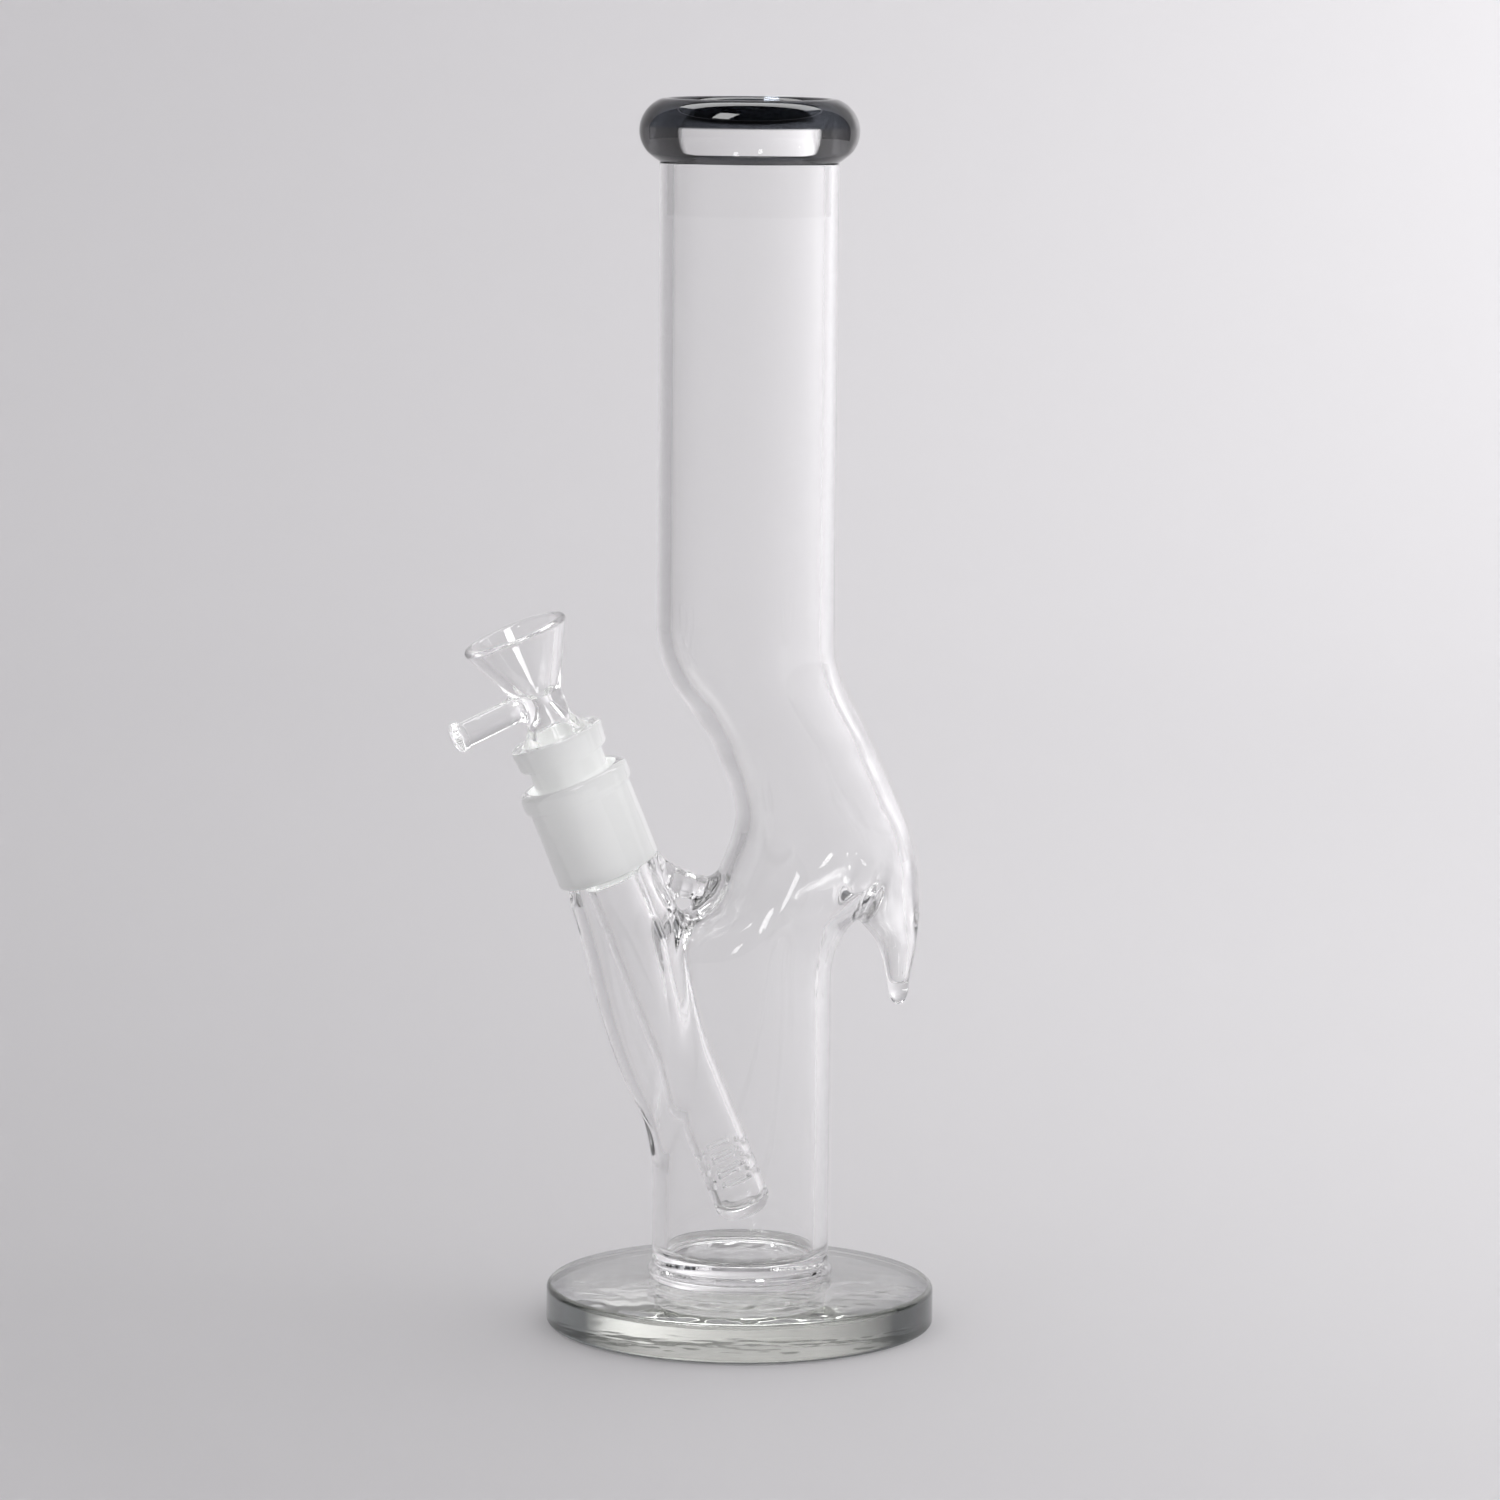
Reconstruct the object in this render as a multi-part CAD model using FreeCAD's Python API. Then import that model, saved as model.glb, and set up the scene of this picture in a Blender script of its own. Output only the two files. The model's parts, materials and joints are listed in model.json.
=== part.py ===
"""Clear glass water pipe with an S-bend tube, a drop-in downstem and a cone bowl.

Millimetres, +Z up.  The origin is the centre of the flat underside of the base disc.
The S-bend, the horn, the joint neck and the brace all lie in the plane Y = 0, with the
joint on the -X side and the horn on the +X side.  Everything that fits in the ground
joint is turned about the joint axis, which leans from the chamber out towards -X.
"""
import FreeCAD, Part
import math
import os

Vec = FreeCAD.Vector
UP = Vec(0, 0, 1)

# ---- driving dimensions -------------------------------------------------------------
TUBE_R = 19.0            # 38 mm borosilicate tube
WALL = 3.1
BORE_R = TUBE_R - WALL

DISC_R = 41.7
DISC_EDGE_T = 8.5        # at the rim; the top rises a little towards the tube
DISC_T = 9.9
DISC_SLOPE_R = TUBE_R + 0.3        # where the sloping top meets the flat middle
FLOOR_Z = 14.8           # inside of the closed tube bottom
FLOOR_ROUND = 2.6        # inner corner between floor and wall
FLOOR_TOP = 18.5         # where the plain tube begins
BEAD_R = 20.5            # melted bead that seals tube to disc, before its rounding
BEAD_WIDEST = 11.4       # height of the bead's widest ring
BEAD_TOP = 13.2

BEND_BOTTOM = 74.0
BEND_TOP = 150.0
TUBE_TOP = 249.3

JOINT_TILT = 22.1        # degrees, joint axis from the vertical
JOINT_LIP = Vec(-37.3, 0, 119.3)   # centre of the socket's top edge
JOINT_GAP = 0.04         # radial clearance between two ground cones
TAPER = 0.05             # ground cones, 1:10 on the diameter

SOCKET_R = 11.2
SOCKET_LIP_R = 12.05
SOCKET_LIP_H = 3.8
SOCKET_LEN = 22.0
SOCKET_BORE_R = 9.45     # 18.8 mm ground joint, at the lip
BOWL_BORE_R = 7.3        # 14.5 mm ground joint, at the collar's top
SOCKET_STEP = 0.9        # slope between the lip and the ground length
NECK_R = 10.5
NECK_WALL = 2.7
NECK_STUB = 14.0         # straight length that runs down inside the neck's loft

BRACE_START = Vec(-22.0, 0, 99.0)  # inside the neck's wall
BRACE_END = Vec(2.0, 0, 90.5)      # inside the bend's wall
BRACE_R = 3.0
BRACE_START_R = 4.2
BRACE_END_R = 3.6
BRACE_WELD = 7.5         # length of each flared end

COLLAR_TOP = 9.6         # heights along the joint axis, from the socket's lip
COLLAR_BOTTOM = 4.6
COLLAR_R = 10.2
WAIST_R = 8.2
CONE_TOP = -1.2
CONE_BOTTOM = -21.0
STEM_R = 6.0
STEM_BORE_R = 4.5
STEM_TOP = -24.0
SLIT_ROWS = (-87.5, -90.9, -94.3)
SLIT_W = 1.1
SLITS_PER_ROW = 4
SLIT_ARC = 66.0          # degrees of the tube that one slit spans
DIFFUSER_TOP = -83.0
STEM_TIP = -103.2
STEM_TIP_WALL = 2.2
CONE_LEAD = 1.2          # chamfer at the top of the male cone
BORE_END = -11.0         # lower end of the collar's ground bore
BORE_RUNOUT = 3.0        # from that bore down to the plain tube bore

BOWL_CONE_BOTTOM = -9.5
BOWL_BORE = 4.3
BOWL_NECK_R = 4.9
BOWL_FLARE_H = 3.2       # where the ground cone narrows to the neck
FUNNEL_INNER_R = 3.0     # cup radius where its floor begins
FUNNEL_FLOOR = 1.6       # rise from the draw hole to the cup's wall
NECK_PLUG = 2.0          # solid length round the draw hole
NECK_BORE_TOP_R = 3.2
FUNNEL_BOTTOM = 19.0
FUNNEL_TOP = 33.6
FUNNEL_R = 11.45
FUNNEL_WALL = 1.9
DRAW_HOLE_R = 1.6        # hole at the bottom of the cone bowl
HANDLE_AT = 18.2
HANDLE_R = 2.7
HANDLE_END_R = 3.3
HANDLE_LEN = 21.0
HANDLE_TURN = 16.5       # degrees about the joint axis, towards -Y
HANDLE_WELD_R = 3.6      # at the neck, tapering over HANDLE_WELD
HANDLE_WELD = 7.5
HANDLE_END_T = 1.3       # length of the flared end

# Ring of smoke glass round the mouth: radius and height, from the outside of the tube over
# the top to its bore.
RIM_OUTLINE = [
    (TUBE_R, TUBE_TOP),
    (21.8, 251.6),
    (23.3, 255.8),
    (22.3, 259.4),
    (20.0, 261.8),
    (17.4, 262.6),
    (15.2, 260.8),
    (14.3, 256.4),
    (14.9, 251.8),
    (BORE_R, TUBE_TOP),
]
# Side outlines of the S-bend: height, left edge, right edge.
BEND_OUTLINE = [
    (158.0, -19.0, 19.0),
    (150.0, -19.0, 19.0),
    (143.6, -17.7, 19.4),
    (139.3, -15.9, 20.7),
    (135.0, -13.0, 22.6),
    (130.6, -9.8, 25.0),
    (126.3, -7.0, 27.1),
    (121.9, -5.0, 29.0),
    (117.6, -3.3, 31.1),
    (113.2, -1.9, 33.0),
    (109.5, -1.5, 34.7),
    (106.0, -2.1, 35.9),
    (102.5, -3.3, 36.3),
    (99.0, -4.8, 35.6),
    (95.5, -6.4, 33.2),
    (92.0, -9.0, 29.4),
    (88.5, -13.2, 25.0),
    (85.0, -17.0, 22.0),
    (81.5, -18.7, 20.2),
    (78.0, -19.0, 19.3),
    (74.0, -19.0, 19.0),
    (70.0, -19.0, 19.0),
]
# Horn: height, left edge, right edge, half depth, wall.
HORN_OUTLINE = [
    (112.0, 20.5, 28.0, 8.0, 3.1),
    (107.0, 20.0, 32.5, 11.5, 3.1),
    (101.0, 20.0, 36.8, 14.0, 3.1),
    (95.0, 21.0, 37.9, 13.8, 3.0),
    (91.0, 22.8, 38.2, 12.6, 2.8),
    (88.0, 24.6, 38.3, 10.3, 2.4),
    (85.0, 27.2, 38.2, 7.2, 2.0),
    (82.0, 29.5, 38.0, 5.0, 1.7),
    (79.0, 30.6, 37.6, 3.8, 1.5),
    (76.0, 31.3, 37.0, 3.0, 1.2),
    (73.0, 31.8, 36.5, 2.4, 1.1),
    (70.6, 32.2, 36.3, 2.1, 1.0),
    (69.2, 32.8, 35.7, 1.5, 1.0),
    (68.4, 33.6, 34.9, 0.7, 1.0),
]
HORN_HOLLOW_END = 73.0
HORN_CLEAR_R = 26.0      # radius between the lower tube and the hanging horn
# Neck below the socket: height, left edge, right edge, half depth.
NECK_OUTLINE = [
    (84.0, -35.0, -10.5, 11.4),
    (72.0, -31.9, -4.0, 12.0),
    (60.0, -28.2, 2.0, 12.2),
    (52.0, -24.9, 4.0, 11.6),
    (45.0, -21.4, 6.0, 10.2),
    (37.0, -18.2, 6.0, 8.4),
]

OVAL_POINTS = 16         # points that each oval section is drawn through
SLAB_REACH = 80.0        # half width of the blocks that cut lengths off the tube

# ---- helpers --------------------------------------------------------------------------
def rounded_profile(corners):
    """Closed face in the XZ plane; a corner is (radius, height) or (radius, height, round)."""
    count = len(corners)
    points = [Vec(c[0], 0, c[1]) for c in corners]
    starts, ends, arcs = [], [], []
    for i, corner in enumerate(corners):
        here = points[i]
        to_last = (points[i - 1] - here).normalize()
        to_next = (points[(i + 1) % count] - here).normalize()
        fillet = corner[2] if len(corner) > 2 else 0.0
        if fillet:
            half = to_last.getAngle(to_next) / 2
            reach = fillet / math.tan(half)
            middle_dir = (to_last + to_next).normalize()
            middle = here + middle_dir * (fillet / math.sin(half) - fillet)
            starts.append(here + to_last * reach)
            ends.append(here + to_next * reach)
            arcs.append(Part.Arc(starts[i], middle, ends[i]).toShape())
        else:
            starts.append(here)
            ends.append(here)
            arcs.append(None)
    edges = []
    for i in range(count):
        if arcs[i]:
            edges.append(arcs[i])
        following = starts[(i + 1) % count]
        if ends[i].distanceToPoint(following) > 1e-6:
            edges.append(Part.makeLine(ends[i], following))
    return Part.Face(Part.Wire(edges))


def turned(corners):
    """Solid of revolution about Z from a rounded profile."""
    return rounded_profile(corners).revolve(Vec(0, 0, 0), UP, 360)


def cylinder(radius, low, high):
    return Part.makeCylinder(radius, high - low, Vec(0, 0, low))


def on_joint_axis(shape):
    """Move a shape built about Z, with height 0 at the socket's lip, onto the joint axis."""
    placed = shape.copy()
    placed.Placement = FreeCAD.Placement(JOINT_LIP, FreeCAD.Rotation(Vec(0, 1, 0), -JOINT_TILT))
    return placed


def oval(height, left, right, half_depth):
    """Closed horizontal section, always begun at its right edge so that lofts do not twist."""
    middle = (left + right) / 2
    half_width = (right - left) / 2
    points = []
    for i in range(OVAL_POINTS):
        angle = 2 * math.pi * i / OVAL_POINTS
        points.append(Vec(middle + half_width * math.cos(angle), half_depth * math.sin(angle), height))
    curve = Part.BSplineCurve()
    curve.interpolate(Points=points, PeriodicFlag=True)
    return Part.Wire([curve.toShape()])


def loft(sections):
    return Part.makeLoft([oval(*section) for section in sections], True, False)


def inset(outline, wall):
    """Edges of the hollow inside an outline, moved in by the wall square to the surface."""
    result = []
    last = len(outline) - 1
    for i, (height, left, right) in enumerate(outline):
        above = outline[max(i - 1, 0)]
        below = outline[min(i + 1, last)]
        rise = above[0] - below[0]
        lean_left = math.hypot(1.0, (above[1] - below[1]) / rise)
        lean_right = math.hypot(1.0, (above[2] - below[2]) / rise)
        result.append((height, left + wall * lean_left, right - wall * lean_right))
    return result


def export(shape, name):
    solids = shape.Solids
    assert shape.isValid() and len(solids) == 1, name + " is not one valid solid"
    solids[0].exportStep(os.path.join("parts", name + ".step"))
    print("%-20s %9.1f mm3" % (name, solids[0].Volume))


# ---- the water pipe's own glass ---------------------------------------------------------
def base_disc():
    return turned([
        (0, 0),
        (DISC_R, 0, 1.0),
        (DISC_R, DISC_EDGE_T, 1.3),
        (DISC_SLOPE_R, DISC_T, 3.0),
        (0, DISC_T),
    ])


def chamber_floor():
    """Thick closed bottom of the tube, with the bead that seals it to the disc."""
    return turned([
        (0, DISC_T),
        (TUBE_R + 0.2, DISC_T),
        (BEAD_R, BEAD_WIDEST, 1.2),
        (TUBE_R, BEAD_TOP, 1.0),
        (TUBE_R, FLOOR_TOP),
        (BORE_R, FLOOR_TOP),
        (BORE_R, FLOOR_Z, FLOOR_ROUND),
        (0, FLOOR_Z),
    ])


def bend_skin():
    """Outside of the whole bent length, horn included, as one solid."""
    main = loft([(z, left, right, TUBE_R) for z, left, right in BEND_OUTLINE])
    horn = loft([row[:4] for row in HORN_OUTLINE])
    return main.fuse(horn)


def bend_hollow():
    """Inside of the bent length and of the horn, as one solid."""
    main = loft([(z, left, right, BORE_R) for z, left, right in inset(BEND_OUTLINE, WALL)])
    rows = [row for row in HORN_OUTLINE if row[0] >= HORN_HOLLOW_END]
    horn = loft([(z, left + wall, right - wall, depth - wall) for z, left, right, depth, wall in rows])
    return main.fuse(horn)


def slab(low, high):
    """Everything between two heights, for cutting lengths off the tube."""
    corner = Vec(-SLAB_REACH, -SLAB_REACH, low)
    return Part.makeBox(2 * SLAB_REACH, 2 * SLAB_REACH, high - low, corner)


def neck_solid(wall):
    """Neck from the socket down into the chamber, outside (wall 0) or hollow (wall > 0)."""
    sections = [(z, left + wall, right - wall, depth - wall) for z, left, right, depth in NECK_OUTLINE]
    body = Part.makeLoft([oval(*section) for section in sections], True, False)
    stub = on_joint_axis(cylinder(NECK_R - wall, -SOCKET_LEN - NECK_STUB, -SOCKET_LEN))
    start = Part.Wire([Part.Circle(Vec(0, 0, -SOCKET_LEN), UP, NECK_R - wall).toShape()])
    blend = Part.makeLoft([on_joint_axis(start), oval(*sections[0])], True, False)
    return body.fuse(blend).fuse(stub)


def socket():
    bore_end = SOCKET_BORE_R - TAPER * SOCKET_LEN
    return on_joint_axis(turned([
        (SOCKET_BORE_R, 0, 0.6),
        (SOCKET_LIP_R, 0, 1.7),
        (SOCKET_LIP_R, -SOCKET_LIP_H, 1.7),
        (SOCKET_R, -SOCKET_LIP_H - SOCKET_STEP, 0.5),
        (SOCKET_R, -SOCKET_LEN, 0.9),
        (bore_end, -SOCKET_LEN),
    ]))


def mouthpiece_rim():
    """Thick rounded ring of smoke glass, fused to the top of the tube."""
    curve = Part.BSplineCurve()
    curve.interpolate([Vec(r, 0, z) for r, z in RIM_OUTLINE])
    closing = Part.makeLine(Vec(BORE_R, 0, TUBE_TOP), Vec(TUBE_R, 0, TUBE_TOP))
    return Part.Face(Part.Wire([curve.toShape(), closing])).revolve(Vec(0, 0, 0), UP, 360)


def brace():
    """Short solid strut from the neck to the side of the bend, a little wider at its ends."""
    length = (BRACE_END - BRACE_START).Length
    rod = turned([
        (0, 0),
        (BRACE_START_R, 0),
        (BRACE_R, BRACE_WELD, 6.0),
        (BRACE_R, length - BRACE_WELD, 6.0),
        (BRACE_END_R, length),
        (0, length),
    ])
    rod.Placement = FreeCAD.Placement(BRACE_START, FreeCAD.Rotation(UP, BRACE_END - BRACE_START))
    return rod


def pipe_glass():
    """Name and shape of every piece fused into the standing pipe."""
    tube_skin = cylinder(TUBE_R, FLOOR_TOP, BEND_BOTTOM)
    below_bend = cylinder(HORN_CLEAR_R, FLOOR_TOP, BEND_BOTTOM)
    bent_skin = bend_skin().common(slab(FLOOR_TOP, BEND_TOP)).cut(below_bend)
    neck_hollow = neck_solid(NECK_WALL)
    neck_skin = neck_solid(0.0)
    lower_tube = tube_skin.cut(cylinder(BORE_R, FLOOR_TOP, BEND_BOTTOM)).cut(neck_hollow)
    bend = bent_skin.cut(bend_hollow()).cut(neck_hollow)
    neck = neck_skin.cut(neck_hollow).cut(tube_skin).cut(bent_skin)
    strut = brace().cut(neck_skin).cut(bent_skin)
    return {
        "base_disc": base_disc(),
        "chamber_floor": chamber_floor(),
        "lower_tube": largest(lower_tube),
        "s_bend": largest(bend),
        "upper_tube": cylinder(TUBE_R, BEND_TOP, TUBE_TOP).cut(cylinder(BORE_R, BEND_TOP, TUBE_TOP)),
        "mouthpiece_rim": mouthpiece_rim(),
        "joint_neck": largest(neck),
        "joint_socket": socket(),
        "brace_strut": largest(strut),
    }


def largest(shape):
    """The one real piece of a cut; slivers left on the far side are dropped."""
    return max(shape.Solids, key=lambda solid: solid.Volume)


# ---- the downstem -------------------------------------------------------------------------
def female_bore(height):
    """Radius of the 14.5 mm ground bore at a height on the joint axis."""
    return BOWL_BORE_R - TAPER * (COLLAR_TOP - height)


def male_cone(height):
    """Radius of the 18.8 mm ground cone at a height on the joint axis."""
    return SOCKET_BORE_R - JOINT_GAP + TAPER * height


def downstem_collar():
    return on_joint_axis(turned([
        (female_bore(COLLAR_TOP), COLLAR_TOP, 0.3),
        (COLLAR_R, COLLAR_TOP, 0.7),
        (COLLAR_R - 0.5, COLLAR_BOTTOM, 0.7),
        (WAIST_R, COLLAR_BOTTOM - 0.3, 0.6),
        (WAIST_R, CONE_TOP),
        (female_bore(CONE_TOP), CONE_TOP),
    ]))


def downstem_cone():
    return on_joint_axis(turned([
        (female_bore(CONE_TOP), CONE_TOP),
        (WAIST_R, CONE_TOP),
        (male_cone(CONE_TOP - CONE_LEAD), CONE_TOP - CONE_LEAD, 0.5),
        (male_cone(CONE_BOTTOM), CONE_BOTTOM, 1.5),
        (STEM_R, STEM_TOP),
        (STEM_BORE_R, STEM_TOP),
        (STEM_BORE_R, BORE_END - BORE_RUNOUT),
        (female_bore(BORE_END), BORE_END),
    ]))


def downstem_tube():
    tube = cylinder(STEM_R, DIFFUSER_TOP, STEM_TOP).cut(cylinder(STEM_BORE_R, DIFFUSER_TOP, STEM_TOP))
    return on_joint_axis(tube)


def slit(height, turn):
    """One saw cut through the wall, a sector of a thin ring."""
    ring = cylinder(STEM_R + 1, height - SLIT_W / 2, height + SLIT_W / 2)
    ring = ring.cut(cylinder(STEM_BORE_R - 0.6, height - SLIT_W, height + SLIT_W))
    half = math.radians(SLIT_ARC / 2)
    reach = 12.0
    corner = Vec(reach * math.cos(half), reach * math.sin(half), height - SLIT_W)
    mirror = Vec(corner.x, -corner.y, corner.z)
    wedge = Part.Face(Part.makePolygon([Vec(0, 0, corner.z), mirror, corner, Vec(0, 0, corner.z)]))
    cut = ring.common(wedge.extrude(Vec(0, 0, 2 * SLIT_W)))
    cut.rotate(Vec(0, 0, 0), UP, turn)
    return cut


def downstem_diffuser():
    """Closed lower end of the downstem with rows of slits for the bubbles."""
    tip = turned([
        (0, STEM_TIP),
        (STEM_R, STEM_TIP, 3.2),
        (STEM_R, DIFFUSER_TOP),
        (STEM_BORE_R, DIFFUSER_TOP),
        (STEM_BORE_R, STEM_TIP + STEM_TIP_WALL, 2.4),
        (0, STEM_TIP + STEM_TIP_WALL),
    ])
    for height in SLIT_ROWS:
        for i in range(SLITS_PER_ROW):
            tip = tip.cut(slit(height, i * 360.0 / SLITS_PER_ROW))
    return on_joint_axis(tip)


# ---- the bowl -----------------------------------------------------------------------------
def bowl_cone():
    """14.5 mm ground cone that hangs in the downstem's collar."""
    top = female_bore(COLLAR_TOP) - JOINT_GAP
    low = female_bore(BOWL_CONE_BOTTOM) - JOINT_GAP
    return on_joint_axis(turned([
        (BOWL_BORE, COLLAR_TOP),
        (top, COLLAR_TOP),
        (low, BOWL_CONE_BOTTOM, 0.8),
        (BOWL_BORE, BOWL_CONE_BOTTOM, 0.4),
    ]))


def bowl_neck():
    """Clear neck between the ground cone and the funnel, where the handle is fused on."""
    top = female_bore(COLLAR_TOP) - JOINT_GAP
    neck = turned([
        (BOWL_BORE, COLLAR_TOP),
        (top, COLLAR_TOP),
        (BOWL_NECK_R, COLLAR_TOP + BOWL_FLARE_H, 2.5),
        (BOWL_NECK_R, FUNNEL_BOTTOM),
        (DRAW_HOLE_R, FUNNEL_BOTTOM),
        (DRAW_HOLE_R, FUNNEL_BOTTOM - NECK_PLUG),
        (NECK_BORE_TOP_R, COLLAR_TOP + BOWL_FLARE_H, 1.0),
    ])
    return on_joint_axis(neck)


def bowl_funnel():
    return on_joint_axis(turned([
        (DRAW_HOLE_R, FUNNEL_BOTTOM),
        (BOWL_NECK_R, FUNNEL_BOTTOM),
        (FUNNEL_R, FUNNEL_TOP - 1.2, 0.8),
        (FUNNEL_R - 0.2, FUNNEL_TOP, 0.8),
        (FUNNEL_R - FUNNEL_WALL, FUNNEL_TOP - 0.3, 0.6),
        (FUNNEL_INNER_R, FUNNEL_BOTTOM + FUNNEL_FLOOR, 2.0),
    ]))


def bowl_handle():
    """Solid rod square to the joint axis, with a flared, fire-polished end."""
    rod = turned([
        (0, 0),
        (HANDLE_WELD_R, 0),
        (HANDLE_R, HANDLE_WELD, 5.0),
        (HANDLE_R, HANDLE_LEN - HANDLE_END_T - 0.3, 0.4),
        (HANDLE_END_R, HANDLE_LEN - HANDLE_END_T, 0.15),
        (HANDLE_END_R, HANDLE_LEN, 0.5),
        (0, HANDLE_LEN),
    ])
    rod.rotate(Vec(0, 0, 0), Vec(0, 1, 0), -90)
    rod.rotate(Vec(0, 0, 0), UP, HANDLE_TURN)
    rod.translate(Vec(0, 0, HANDLE_AT))
    neck_core = cylinder(BOWL_NECK_R, COLLAR_TOP + BOWL_FLARE_H, FUNNEL_BOTTOM)
    funnel_core = turned([
        (0, FUNNEL_BOTTOM),
        (BOWL_NECK_R, FUNNEL_BOTTOM),
        (FUNNEL_R, FUNNEL_TOP - 1.2),
        (0, FUNNEL_TOP),
    ])
    return largest(on_joint_axis(rod.cut(neck_core).cut(funnel_core)))


def main():
    os.makedirs("parts", exist_ok=True)
    nodes = pipe_glass()
    nodes.update({
        "downstem_collar": downstem_collar(),
        "downstem_cone": downstem_cone(),
        "downstem_tube": downstem_tube(),
        "downstem_diffuser": downstem_diffuser(),
        "bowl_cone": bowl_cone(),
        "bowl_neck": bowl_neck(),
        "bowl_funnel": bowl_funnel(),
        "bowl_handle": bowl_handle(),
    })
    for name, shape in nodes.items():
        export(shape, name)


main()
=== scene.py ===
"""Looks of the glass water pipe with an S-bend tube, its downstem and its bowl.

Shapes are worked out in millimetres in the CAD model's frame and written in metres.  The
standing glass and the bowl are each one fused body, polygonised from a distance function; the
other pieces are turned from their outlines about Z or about the joint axis.
"""
import json
import math

import bmesh
import bpy
import numpy as np
from mathutils import Matrix, Vector


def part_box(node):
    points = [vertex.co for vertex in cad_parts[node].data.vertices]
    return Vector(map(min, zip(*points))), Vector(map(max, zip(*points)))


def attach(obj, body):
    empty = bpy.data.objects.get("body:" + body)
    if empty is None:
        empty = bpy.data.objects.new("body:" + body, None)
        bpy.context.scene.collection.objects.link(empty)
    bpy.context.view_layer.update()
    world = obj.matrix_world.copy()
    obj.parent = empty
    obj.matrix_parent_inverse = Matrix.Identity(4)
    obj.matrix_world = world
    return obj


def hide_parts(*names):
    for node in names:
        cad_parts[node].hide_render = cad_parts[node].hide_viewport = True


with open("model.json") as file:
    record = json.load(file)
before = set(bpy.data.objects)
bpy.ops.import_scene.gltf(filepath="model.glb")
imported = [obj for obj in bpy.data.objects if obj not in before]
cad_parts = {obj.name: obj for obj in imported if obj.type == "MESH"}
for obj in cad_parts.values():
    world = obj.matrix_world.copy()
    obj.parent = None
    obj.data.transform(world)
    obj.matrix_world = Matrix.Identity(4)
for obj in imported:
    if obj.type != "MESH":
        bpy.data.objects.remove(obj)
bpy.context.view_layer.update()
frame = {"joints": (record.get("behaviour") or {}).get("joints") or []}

MM = 0.001
TINY = 1e-6  # a shorter length counts as none

# ---- sizes from the frame, in millimetres ----


def node_box(node):
    """Lowest and highest corner of a CAD node, in millimetres."""
    low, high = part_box(node)
    return np.array(low) / MM, np.array(high) / MM


DISC_HIGH = node_box("base_disc")[1]
FLOOR_HIGH = node_box("chamber_floor")[1]
TUBE_LOW, TUBE_HIGH = node_box("upper_tube")
TUBE_R = round(TUBE_HIGH[1], 2)
WALL = 3.1
BORE_R = TUBE_R - WALL
DISC_R = round(DISC_HIGH[0], 2)
DISC_T = round(DISC_HIGH[2], 2)
DISC_EDGE_T = 8.5
FLOOR_Z = 14.8
FLOOR_ROUND = 2.6
BEAD_TOP = 13.2
BEAD_R = round(FLOOR_HIGH[0], 2)
BEND_TOP = round(TUBE_LOW[2], 2)
TUBE_TOP = round(TUBE_HIGH[2], 2)
SEAM = 0.02  # air left between two pieces of glass that touch in the CAD model

JOINT_AXIS = np.array(frame["joints"][0]["axis"], float)
JOINT_TILT = math.atan2(-JOINT_AXIS[0], JOINT_AXIS[2])
JOINT_LIP = np.array([-37.3, 0.0, 119.3])  # centre of the socket's mouth
TAPER = 0.05  # radius lost along each millimetre of a ground joint
JOINT_GAP = 0.04  # air between the two cones of a joint

# The joint's sizes: heights are along its axis, from the socket's mouth.
SOCKET_R = 11.2
SOCKET_LIP_R = 12.05
SOCKET_LIP_H = 3.8
SOCKET_STEP = 0.9
SOCKET_LEN = 22.0
SOCKET_BORE_R = 9.45
BOWL_BORE_R = 7.3
NECK_R = 10.5
NECK_WALL = 2.7

COLLAR_TOP = 9.6
COLLAR_BOTTOM = 4.6
COLLAR_R = 10.2
WAIST_R = 8.2
CONE_TOP = -1.2
CONE_LEAD = 1.2
CONE_BOTTOM = -21.0
STEM_R = 6.0
STEM_BORE_R = 4.5
STEM_TOP = -24.0
STEM_TIP = -103.2
STEM_TIP_WALL = 2.2
BORE_END = -11.0
BORE_RUNOUT = 3.0
SLIT_ROWS = (-87.5, -90.9, -94.3)
SLIT_W = 1.1
SLIT_EDGES = sorted({row + side * SLIT_W / 2 for row in SLIT_ROWS for side in (-1, 1)})
SLITS_PER_ROW = 4
SLIT_ARC = 66  # degrees

BOWL_CONE_BOTTOM = -9.5
BOWL_BORE = 4.3
BOWL_NECK_R = 4.9
BOWL_FLARE_H = 3.2
FUNNEL_BOTTOM = 19.0
FUNNEL_TOP = 33.6
FUNNEL_R = 11.45
FUNNEL_WALL = 1.9
FUNNEL_INNER_R = 3.0
FUNNEL_FLOOR = 1.6
DRAW_HOLE_R = 1.6
NECK_PLUG = 2.0
NECK_BORE_TOP_R = 3.2
HANDLE_AT = 18.2
HANDLE_R = 2.7
HANDLE_ROOT = 2.5  # distance of the rod's hidden end from the joint axis
HANDLE_WELD_R = 3.6
HANDLE_WELD = 7.5
HANDLE_END_R = 3.3
HANDLE_END_T = 1.3
HANDLE_LEN = 21.0
HANDLE_TURN = math.radians(16.5)

BRACE_START = np.array([-22.0, 0.0, 99.0])
BRACE_END = np.array([2.0, 0.0, 90.5])
BRACE_RADII = ((0.0, 4.2), (7.5, 3.0), (18.0, 3.0), (25.5, 3.6))  # distance along it, radius
TWIST_DEPTH = 0.3  # facets that the twist leaves in the brace
TWIST_PITCH = 5.2
TWIST_RIDGES = 3

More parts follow.
